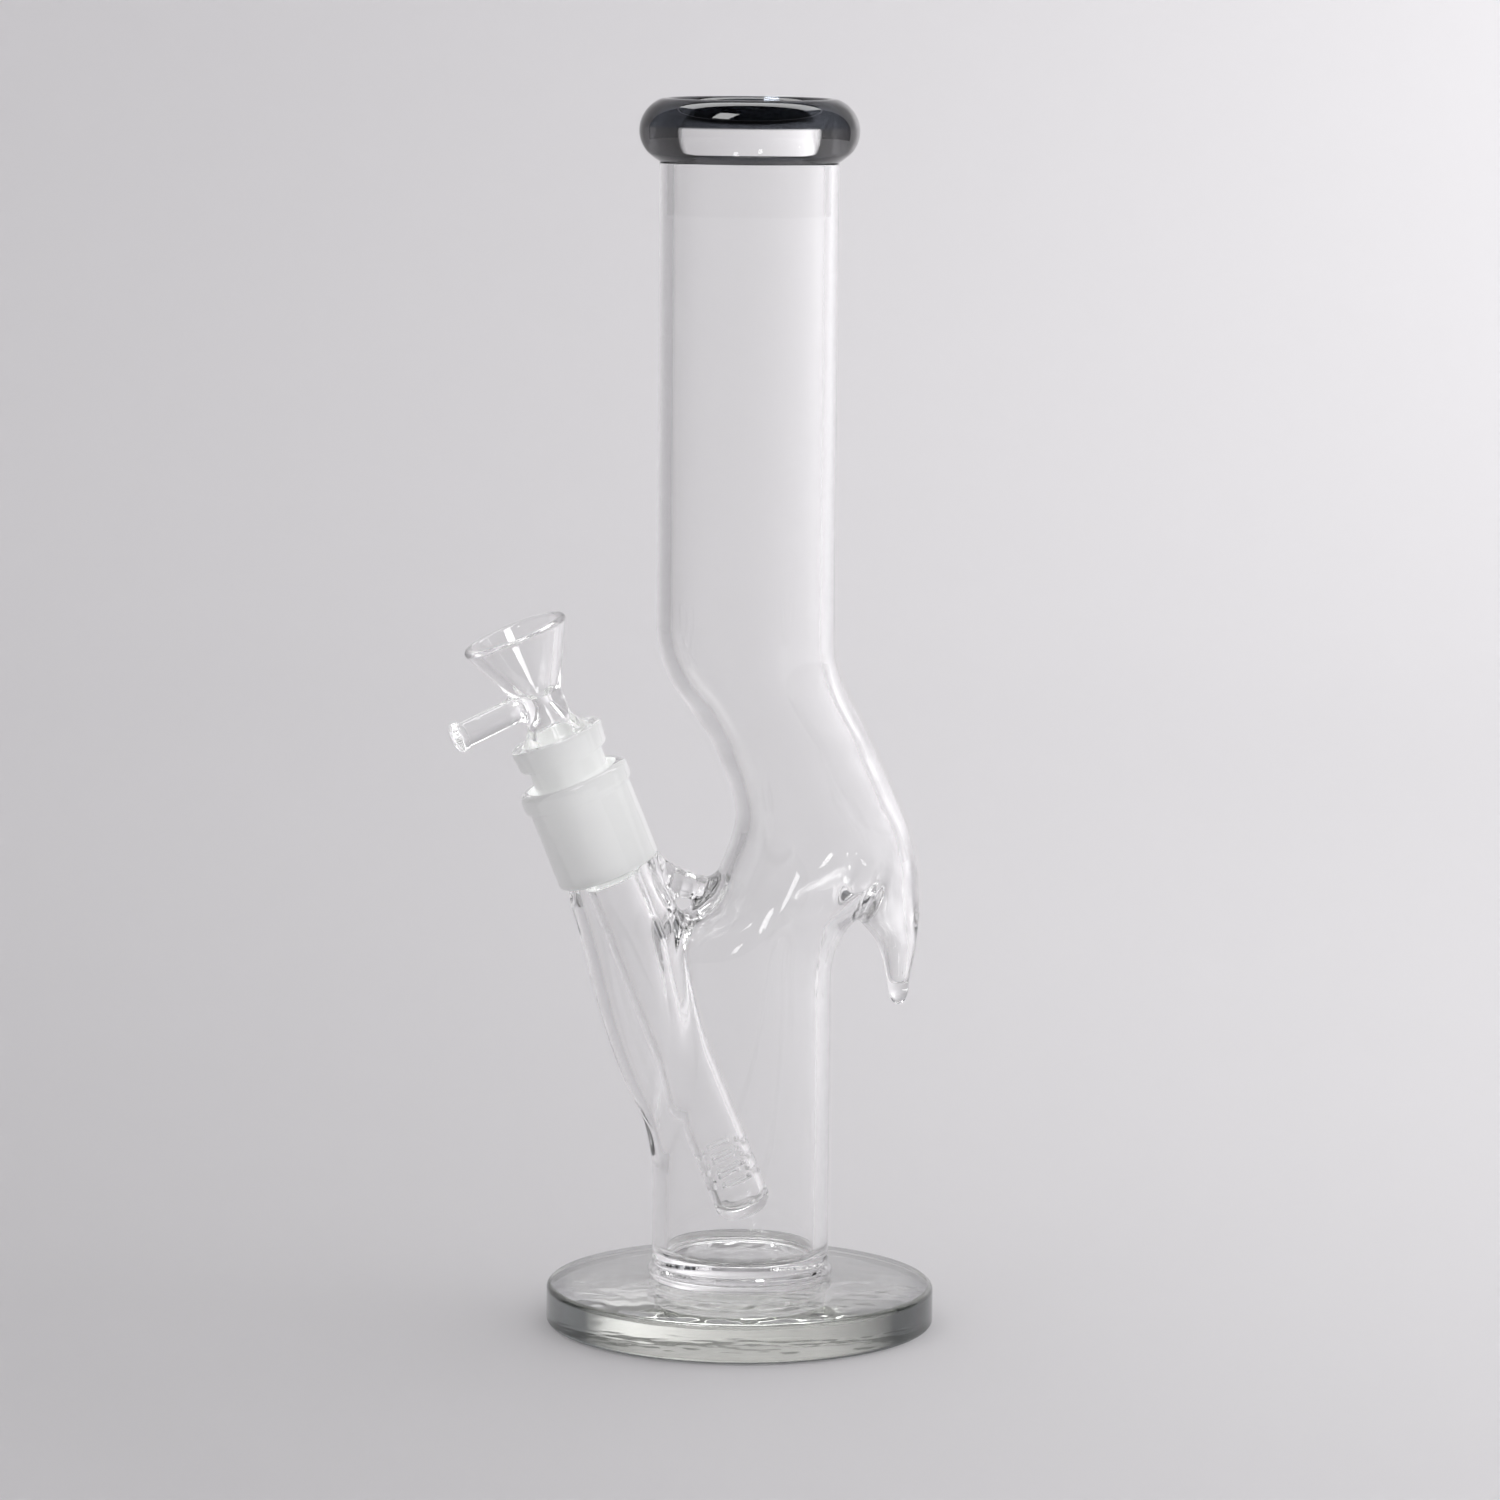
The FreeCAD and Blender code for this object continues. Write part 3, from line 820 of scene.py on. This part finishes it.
def cut_slits(shape, samples, rings):
    """Open the rows of slits: drop the wall's faces there and wall in each cut."""
    def ring_at(radius, height):
        return next(
            rings[j] for j, s in enumerate(samples)
            if abs(s[0] - radius) < TINY and abs(s[1] - height) < TINY
        )

    half = SLIT_ARC * STEM_STEPS // 720  # ring steps in half a slit
    gone = set()
    walls = []
    for row in range(len(SLIT_ROWS)):
        low, high = SLIT_EDGES[2 * row], SLIT_EDGES[2 * row + 1]
        out_low, out_high = ring_at(STEM_R, low), ring_at(STEM_R, high)
        in_low, in_high = ring_at(STEM_BORE_R, low), ring_at(STEM_BORE_R, high)
        for slit in range(SLITS_PER_ROW):
            middle = slit * STEM_STEPS // SLITS_PER_ROW
            for k in range(middle - half, middle + half):
                a, b = k % STEM_STEPS, (k + 1) % STEM_STEPS
                gone.add(frozenset((out_low + a, out_low + b, out_high + a, out_high + b)))
                gone.add(frozenset((in_low + a, in_low + b, in_high + a, in_high + b)))
                walls.append((out_low + a, out_low + b, in_low + b, in_low + a))
                walls.append((in_high + a, in_high + b, out_high + b, out_high + a))
            a, b = (middle - half) % STEM_STEPS, (middle + half) % STEM_STEPS
            walls.append((out_low + a, in_low + a, in_high + a, out_high + a))
            walls.append((out_low + b, out_high + b, in_high + b, in_low + b))
    kept = [i for i, face in enumerate(shape.faces) if frozenset(face) not in gone]
    shape.faces = [shape.faces[i] for i in kept]
    shape.slots = [shape.slots[i] for i in kept]
    shape.flat = [shape.flat[i] for i in kept]
    for wall in walls:
        shape.face(wall, flat=True)


def downstem(materials):
    """Collar, ground cone, tube and slit diffuser: one piece of blown glass."""
    samples = rounded([
        (0, STEM_TIP),
        (STEM_R, STEM_TIP, 3.2),
        *[(STEM_R, height, 0) for height in SLIT_EDGES],
        (STEM_R, STEM_TOP, 0.8),
        (male_cone(CONE_BOTTOM), CONE_BOTTOM, 1.5, 1),
        (male_cone(CONE_TOP - CONE_LEAD), CONE_TOP - CONE_LEAD, 0.5),
        (WAIST_R, CONE_TOP, 0.4),
        (WAIST_R, COLLAR_BOTTOM - 0.3, 0.6),
        (COLLAR_R - 0.5, COLLAR_BOTTOM, 0.7),
        (COLLAR_R, COLLAR_TOP, 0.7),
        (female_bore(COLLAR_TOP), COLLAR_TOP, 0.3, 1),
        (female_bore(BORE_END), BORE_END, 0.8),
        (STEM_BORE_R, BORE_END - BORE_RUNOUT, 1.5),
        *[(STEM_BORE_R, height, 0) for height in SLIT_EDGES[::-1]],
        (STEM_BORE_R, STEM_TIP + STEM_TIP_WALL, 2.4),
        (0, STEM_TIP + STEM_TIP_WALL),
    ])
    shape = Shape()
    rings = lathe(shape, samples, STEM_STEPS)
    cut_slits(shape, samples, rings)
    shape.to_joint()
    replaced = ("downstem_collar", "downstem_cone", "downstem_tube", "downstem_diffuser")
    return shape.piece("downstem", "downstem", materials, replaced, "ground_glass")


def profile_distance(samples):
    """Distance to a body turned from a sampled closed profile, in its own (radius, height)."""
    outline = np.array([s[:2] for s in samples])
    ahead = np.roll(outline, -1, axis=0)

    def distance(radius, height):
        nearest = np.full(len(radius), 1e9)
        crossed = np.zeros(len(radius), bool)
        for a, b in zip(outline, ahead):
            edge = b - a
            size = edge @ edge
            if size < 1e-12:
                continue
            dr, dz = radius - a[0], height - a[1]
            t = np.clip((dr * edge[0] + dz * edge[1]) / size, 0.0, 1.0)
            away = (dr - t * edge[0]) ** 2 + (dz - t * edge[1]) ** 2
            nearest = np.minimum(nearest, away)
            if a[1] != b[1]:
                spans = (a[1] > height) != (b[1] > height)
                meet = a[0] + (height - a[1]) * edge[0] / edge[1]
                crossed ^= spans & (radius < meet)
        return np.sqrt(nearest) * np.where(crossed, -1.0, 1.0)

    return distance


def bowl_distance():
    """Distance to the bowl's glass: a turned part with a rod melted on, less the funnel's cup."""
    cone_top = female_bore(COLLAR_TOP) - JOINT_GAP
    cone_low = female_bore(BOWL_CONE_BOTTOM) - JOINT_GAP
    fine = math.radians(5)
    draw_hole = [
        (FUNNEL_INNER_R, FUNNEL_BOTTOM + FUNNEL_FLOOR, 2.0),
        (DRAW_HOLE_R, FUNNEL_BOTTOM, 0.4),
        (DRAW_HOLE_R, FUNNEL_BOTTOM - NECK_PLUG, 0.4),
    ]
    turned_part = profile_distance(rounded([
        (BOWL_BORE, BOWL_CONE_BOTTOM, 0.4),
        (cone_low, BOWL_CONE_BOTTOM, 0.8),
        (cone_top, COLLAR_TOP, 1.5),
        (BOWL_NECK_R, COLLAR_TOP + BOWL_FLARE_H, 2.5),
        (BOWL_NECK_R, FUNNEL_BOTTOM, 2.5),
        (FUNNEL_R, FUNNEL_TOP - 1.2, 0.8),
        (FUNNEL_R - 0.2, FUNNEL_TOP, 0.8),
        (FUNNEL_R - FUNNEL_WALL, FUNNEL_TOP - 0.3, 0.6),
        *draw_hole,
        (NECK_BORE_TOP_R, COLLAR_TOP + BOWL_FLARE_H, 1.0),
        (BOWL_BORE, COLLAR_TOP, 1.5),
    ], fine))
    handle_part = profile_distance(rounded([
        (0, HANDLE_ROOT),
        (HANDLE_WELD_R, HANDLE_ROOT),
        (HANDLE_R, HANDLE_WELD, 5.0),
        (HANDLE_R, HANDLE_LEN - HANDLE_END_T - 0.3, 0.4),
        (HANDLE_END_R, HANDLE_LEN - HANDLE_END_T, 0.15),
        (HANDLE_END_R, HANDLE_LEN, 0.5),
        (0, HANDLE_LEN),
    ], fine))
    cup = profile_distance(rounded([
        (0, FUNNEL_BOTTOM - NECK_PLUG),
        *draw_hole[::-1],
        (FUNNEL_R - FUNNEL_WALL, FUNNEL_TOP + 0.2),
        (0, FUNNEL_TOP + 0.2),
    ], fine))
    outward = np.array([-math.cos(HANDLE_TURN), -math.sin(HANDLE_TURN), 0.0])

    def distance(p):
        radius = np.hypot(p[:, 0], p[:, 1])
        along = p @ outward
        rise = p[:, 2] - HANDLE_AT
        across = p[:, 0] * outward[1] - p[:, 1] * outward[0]
        rod = handle_part(np.hypot(across, rise), along)
        joined = smooth_min(turned_part(radius, p[:, 2]), rod, HANDLE_BLEND)
        return np.maximum(joined, -cup(radius, p[:, 2]))

    return distance


def bowl(materials):
    """Ground cone, neck, funnel and welded-on handle, as one closed mesh."""
    distance = bowl_distance()
    low = (-22.5, -13.0, BOWL_CONE_BOTTOM - 1.0)
    high = (13.0, 13.0, FUNNEL_TOP + 1.0)
    points, faces = surface_net(distance, low, high, BOWL_NET_STEP)
    points = settled(distance, points)
    shape = net_shape(distance, points, 0.01)
    radius = np.hypot(points[:, 0], points[:, 1])
    ground = (points[:, 2] < COLLAR_TOP - 0.2) & (radius > BOWL_BORE + 1.2)
    ground &= points[:, 2] > BOWL_CONE_BOTTOM + 0.3
    for face in faces:
        shape.face(face, 1 if ground[face].all() else 0)
    shape.to_joint()
    replaced = ("bowl_cone", "bowl_neck", "bowl_funnel", "bowl_handle")
    return shape.piece("bowl", "bowl", materials, replaced, "clear_glass")


# ---- materials ----


def set_inputs(node, **values):
    """Set a node's input values; an underscore stands for a space in an input's name."""
    for name, value in values.items():
        node.inputs[name.replace("_", " ")].default_value = value


def new_material(name):
    """Material with one Principled shader; gives its node tree and the shader too."""
    material = bpy.data.materials.new(name)
    material.use_nodes = True
    tree = material.node_tree
    tree.nodes.clear()
    output = tree.nodes.new("ShaderNodeOutputMaterial")
    shader = tree.nodes.new("ShaderNodeBsdfPrincipled")
    tree.links.new(shader.outputs["BSDF"], output.inputs["Surface"])
    return material, tree, shader


def glass_material(name, tint, roughness=0.0, ior=1.474):
    """Glass all through; borosilicate unless another index of refraction is given."""
    material, tree, shader = new_material(name)
    set_inputs(shader, Base_Color=(*tint, 1), Transmission_Weight=1.0)
    set_inputs(shader, Roughness=roughness, IOR=ior)
    return material, tree, shader


def object_place(tree):
    """Where a point is in its piece, in metres."""
    return tree.nodes.new("ShaderNodeTexCoord").outputs["Object"]


def noise(tree, scale, stretch=(1, 1, 1), detail=2.0):
    """Noise in object space, in cycles per metre; stretch multiplies the scale on each axis."""
    mapping = tree.nodes.new("ShaderNodeMapping")
    set_inputs(mapping, Scale=stretch)
    texture = tree.nodes.new("ShaderNodeTexNoise")
    set_inputs(texture, Scale=scale, Detail=detail)
    tree.links.new(object_place(tree), mapping.inputs["Vector"])
    tree.links.new(mapping.outputs["Vector"], texture.inputs["Vector"])
    return texture.outputs["Fac"]


def ramp(tree, value, stops):
    """Colour ramp through (position, colour) stops; a colour is a grey or three numbers."""
    node = tree.nodes.new("ShaderNodeValToRGB")
    points = node.color_ramp.elements
    while len(points) < len(stops):
        points.new(0.5)
    for point, (position, colour) in zip(points, stops):
        rgb = colour if isinstance(colour, tuple) else (colour,) * 3
        point.position = position
        point.color = (*rgb, 1)
    tree.links.new(value, node.inputs["Fac"])
    return node.outputs["Color"]


def bumped(tree, shader, height, depth_mm, strength=1.0):
    """Bump of a height field whose full swing is depth_mm."""
    bump = tree.nodes.new("ShaderNodeBump")
    set_inputs(bump, Distance=depth_mm * MM, Strength=strength)
    tree.links.new(height, bump.inputs["Height"])
    tree.links.new(bump.outputs["Normal"], shader.inputs["Normal"])


def clear_glass():
    """Drawn tube: faint lines along its length in clean glass."""
    material, tree, shader = glass_material("clear_glass", (0.99, 0.99, 0.99))
    bumped(tree, shader, noise(tree, 160, (1, 1, 0.04)), 0.0015)
    return material


def ground_glass():
    """Milky ground surface with fine grain."""
    material, tree, shader = glass_material("ground_glass", (0.96, 0.965, 0.96), 0.42)
    set_inputs(shader, Transmission_Weight=0.08, Specular_IOR_Level=0.0)
    bumped(tree, shader, noise(tree, 2500), 0.03, 0.6)
    return material


def share_between(tree, length, low_mm, high_mm):
    """0 where the length is low_mm and 1 where it is high_mm."""
    spread = tree.nodes.new("ShaderNodeMapRange")
    set_inputs(spread, From_Min=low_mm * MM, From_Max=high_mm * MM)
    tree.links.new(length, spread.inputs["Value"])
    return spread.outputs["Result"]


def height_share(tree, low_mm, high_mm):
    """0 at one height and 1 at another, in object space."""
    split = tree.nodes.new("ShaderNodeSeparateXYZ")
    tree.links.new(object_place(tree), split.inputs["Vector"])
    return share_between(tree, split.outputs["Z"], low_mm, high_mm)


def radius_share(tree, low_mm, high_mm):
    """0 at one distance from the Z axis and 1 at another, in object space."""
    level = tree.nodes.new("ShaderNodeVectorMath")
    level.operation = "MULTIPLY"
    level.inputs[1].default_value = (1, 1, 0)
    tree.links.new(object_place(tree), level.inputs[0])
    length = tree.nodes.new("ShaderNodeVectorMath")
    length.operation = "LENGTH"
    tree.links.new(level.outputs["Vector"], length.inputs[0])
    return share_between(tree, length.outputs["Value"], low_mm, high_mm)


def edge_on_shade(tree, stops):
    """Colour by how edge-on the glass is seen: painted shade that darkens the glass towards its
    edges.
    """
    layer = tree.nodes.new("ShaderNodeLayerWeight")
    set_inputs(layer, Blend=0.5)
    return ramp(tree, layer.outputs["Facing"], stops)


def mixed(tree, share, first, second):
    """First colour where the share is 0, second where it is 1."""
    node = tree.nodes.new("ShaderNodeMix")
    node.data_type = "RGBA"
    tree.links.new(share, node.inputs["Factor"])
    for source, socket in ((first, node.inputs[6]), (second, node.inputs[7])):
        if isinstance(source, tuple):
            socket.default_value = (*source, 1)
        else:
            tree.links.new(source, socket)
    return node.outputs[2]


def smoke_glass():
    """Near-black wrap over the crown; below it clear glass, darkened towards the sides by painted
    shade.
    """
    clear = (1.0, 1.0, 1.0)
    material, tree, shader = glass_material("smoke_glass", clear)
    seam_line = [(0.06, 0.0), (0.08, 0.9), (0.12, 0.9), (0.14, 0.0)]
    wrap = [(0.55, 0.0), (0.58, 1.0)]
    crown = ramp(tree, height_share(tree, TUBE_TOP, 262.5), seam_line + wrap)
    # painted shade: the outer face of the clear glass under the crown darkens where it is seen
    # edge-on
    sides = edge_on_shade(tree, [(0.2, clear), (0.24, 0.008), (0.5, (0.012, 0.012, 0.013))])
    shaded_below = mixed(tree, radius_share(tree, 17.5, 18.5), clear, sides)
    # the crown's dark wrap is the glass's own colour; the sides below it carry painted shade
    tint = mixed(tree, crown, shaded_below, (0.005, 0.006, 0.008))
    tree.links.new(tint, shader.inputs["Base Color"])
    return material


def foot_glass():
    """Thick pressed disc: faint smoke tint and rippled underside; its sides and the rim band of its
    top carry painted shade.
    """
    material, tree, shader = glass_material("foot_glass", (0.98, 0.98, 0.98), ior=1.5)
    on_top = height_share(tree, DISC_EDGE_T - 0.6, DISC_EDGE_T)
    on_top = ramp(tree, on_top, [(0.3, 0.0), (0.7, 1.0)])
    # painted shade: the disc's sides darken where they are seen edge-on
    foot_side_shade = edge_on_shade(tree, [
        (0.12, (0.99, 0.99, 0.97)),
        (0.28, (0.42, 0.43, 0.42)),
        (0.42, (0.05, 0.055, 0.06)),
    ])
    # painted shade on the top: greyer where it is seen edge-on, and a grey band near the outer edge
    top = edge_on_shade(tree, [(0.7, 0.98), (0.86, (0.8, 0.8, 0.82)), (1.0, (0.4, 0.4, 0.42))])
    top_band_shade_mask = radius_share(tree, DISC_R - 5.5, DISC_R - 3.5)
    top = mixed(tree, top_band_shade_mask, top, (0.62, 0.62, 0.65))
    tree.links.new(mixed(tree, on_top, foot_side_shade, top), shader.inputs["Base Color"])
    depth = tree.nodes.new("ShaderNodeVolumeAbsorption")
    set_inputs(depth, Color=(0.64, 0.68, 0.58, 1), Density=6.0)
    tree.links.new(depth.outputs["Volume"], tree.get_output_node("ALL").inputs["Volume"])
    ripple = noise(tree, 130, detail=1.0)
    under = ramp(tree, height_share(tree, 0.2, 1.2), [(0.0, 1.0), (1.0, 0.0)])
    height = tree.nodes.new("ShaderNodeMath")
    height.operation = "MULTIPLY"
    tree.links.new(ripple, height.inputs[0])
    tree.links.new(under, height.inputs[1])
    bumped(tree, shader, height.outputs[0], 0.13)
    return material


# ---- stage, light and camera ----

CAMERA_AZIMUTH = 11  # degrees that the joint's plane is turned from the picture


def studio_piece(name, points, faces, material):
    """Mesh object of the studio, which isn't part of the glass."""
    mesh = bpy.data.meshes.new(name)
    mesh.from_pydata(points, [], faces)
    mesh.materials.append(material)
    obj = placed(name, mesh)
    return obj


def stage():
    """Round sheet of pale paper: a floor that curves up into a wall."""
    material, _, shader = new_material("backdrop_paper")
    set_inputs(shader, Base_Color=(0.657, 0.648, 0.661, 1), Roughness=0.9)
    floor_z = -0.0002  # just under the foot
    flat_r = 1.1
    cove = 1.2
    cove_steps = 20
    wall_top = 2.6
    rings = [(0, 0), (0.3, 0), (0.7, 0), (flat_r, 0)]
    for k in range(1, cove_steps + 1):
        angle = math.pi / 2 * k / cove_steps
        rings.append((flat_r + cove * math.sin(angle), cove * (1 - math.cos(angle))))
    rings.append((flat_r + cove, wall_top))
    shape = Shape()
    lathe(shape, [(r, z + floor_z, 0, 1, 0) for r, z in rings[::-1]], 96, closed=False)
    floor = studio_piece("studio_floor", shape.points, shape.faces, material)
    floor.data.polygons.foreach_set("use_smooth", [True] * len(shape.faces))


def painted_shade_ring():
    """Dark sheet round the glass, seen only as a mirror image in it: painted shade in the glass's
    reflections.
    """
    material, _, shader = new_material("studio_dark")
    set_inputs(shader, Base_Color=(0.03, 0.03, 0.035, 1))
    radius, height, low = 1.7, 1.9, 0.02
    open_half = math.radians(50)
    steps = 48
    points = []
    for k in range(steps + 1):
        share = (2 * math.pi - 2 * open_half) * k / steps
        angle = math.radians(90 - CAMERA_AZIMUTH) + open_half + share
        place = (radius * math.cos(angle), radius * math.sin(angle))
        points += [(*place, low), (*place, height)]
    faces = [(2 * k, 2 * k + 2, 2 * k + 3, 2 * k + 1) for k in range(steps)]
    shade_ring = studio_piece("studio_dark", points, faces, material)
    shade_ring.visible_camera = False
    shade_ring.visible_diffuse = False
    shade_ring.visible_transmission = False
    shade_ring.visible_shadow = False


def area_light(name, place, target, size, power, mirrored=True, shadow=True):
    """Softbox the camera doesn't see: it is mirrored in the glass, or else lights the paper."""
    data = bpy.data.lights.new(name, "AREA")
    data.shape = "RECTANGLE"
    data.size, data.size_y = size
    data.energy = power
    data.use_shadow = shadow
    lamp = placed(name, data)
    lamp.location = place
    aim = Vector(target) - Vector(place)
    lamp.rotation_mode = "QUATERNION"
    lamp.rotation_quaternion = aim.to_track_quat("-Z", "Y")
    lamp.visible_camera = False
    lamp.visible_diffuse = not mirrored
    lamp.visible_glossy = mirrored
    lamp.visible_transmission = mirrored
    return lamp


def world_light():
    """Even pale light from all round, which the glass doesn't mirror."""
    world = bpy.data.worlds.new("studio")
    world.use_nodes = True
    background = world.node_tree.nodes["Background"]
    set_inputs(background, Color=(1.0, 0.995, 1.0, 1), Strength=0.73)
    world.cycles_visibility.glossy = False
    bpy.context.scene.world = world


def lit_pieces(name, pieces):
    """Collection of the only pieces that a lamp is to light."""
    collection = bpy.data.collections.new(name)
    for piece in pieces:
        collection.objects.link(bpy.data.objects[piece])
    return collection


def lights():
    """Lamps for the paper and the ground glass, and softboxes that the glass mirrors."""
    paper_lamps = (
        ("back_wash", (1.1, 1.3, 0.8), (0.5, 1.9, 0.2), 0.6, 4.2, False),
        ("top_wash", (0.2, 0.3, 2.0), (0.2, 0.3, 0), 1.2, 4.0, False),
        ("side_key", (1.3, 0.0, 1.6), (0, 0.2, 0), 1.2, 2.5, True),
        ("right_wall", (0.5, -0.2, 1.4), (2.3, 0.1, 0.6), 1.2, 26.0, False),
        ("front_wall", (0, -0.4, 1.5), (0, -2.3, 0.6), 1.2, 2.5, False),
    )
    for name, place, target, size, power, shadow in paper_lamps:
        area_light(name, place, target, (size, size), power, mirrored=False, shadow=shadow)
    ground_pieces = lit_pieces("ground_pieces", ("ground_socket", "downstem", "bowl"))
    joint, fill_reach = (-0.03, 0, 0.12), 1.4
    for turn in (-100, 20, 140):
        angle = math.radians(turn)
        place = (fill_reach * math.sin(angle), -fill_reach * math.cos(angle), 0.9)
        lamp = area_light("joint_fill", place, joint, (0.8, 0.8), 8.5, mirrored=False, shadow=False)
        lamp.light_linking.receiver_collection = ground_pieces
    area_light("top_softbox", (-0.58, -0.47, 1.45), (0, 0, 0.26), (0.4, 0.5), 6)
    area_light("back_softbox", (0.15, 0.62, 1.6), (0, 0, 0.26), (1.8, 0.5), 14)
    bowl_only = lit_pieces("bowl_only", ("bowl",))
    lamp = area_light("bowl_window", (-0.25, -1.0, 1.34), (-0.05, 0, 0.15), (0.42, 0.62), 11)
    lamp.light_linking.receiver_collection = bowl_only
    area_light("front_window", (-0.9, -1.5, 0.6), (0, 0, 0.15), (0.22, 0.32), 2)


def camera():
    """Long lens a little above the mouth's height, looking slightly down."""
    azimuth = math.radians(CAMERA_AZIMUTH)
    pitch = 0.13443
    roll = 0.00896
    distance, height, sideways = 1.26849, 0.29585, 0.001213
    ahead = Vector((math.sin(azimuth), math.cos(azimuth), 0))
    level_right = Vector((math.cos(azimuth), -math.sin(azimuth), 0))
    forward = ahead * math.cos(pitch) - Vector((0, 0, math.sin(pitch)))
    level_up = level_right.cross(forward)
    right = level_right * math.cos(roll) + level_up * math.sin(roll)
    up = level_up * math.cos(roll) - level_right * math.sin(roll)
    data = bpy.data.cameras.new("photo_camera")
    data.lens = 143.93
    data.sensor_width = 36.0
    data.clip_start = 0.05
    data.clip_end = 50.0
    cam = placed("photo_camera", data)
    place = -ahead * distance + level_right * sideways + Vector((0, 0, height))
    turn = Matrix((right, up, -forward)).transposed().to_4x4()
    cam.matrix_world = Matrix.Translation(place) @ turn
    bpy.context.scene.camera = cam


def settings():
    """Enough bounces for light to find its way out of many layers of glass."""
    scene = bpy.context.scene
    scene.view_settings.view_transform = "Standard"
    scene.cycles.max_bounces = 48
    scene.cycles.glossy_bounces = 32
    scene.cycles.transmission_bounces = 48
    scene.cycles.transparent_max_bounces = 16
    scene.cycles.use_denoising = True


def main():
    """The six pieces, then the studio."""
    clear = clear_glass()
    ground = ground_glass()
    pipe_body([clear])
    base_disc(foot_glass())
    mouthpiece_rim(smoke_glass())
    joint_socket([clear, ground])
    downstem([clear, ground])
    bowl([clear, ground])
    stage()
    painted_shade_ring()
    world_light()
    lights()
    camera()
    settings()


main()
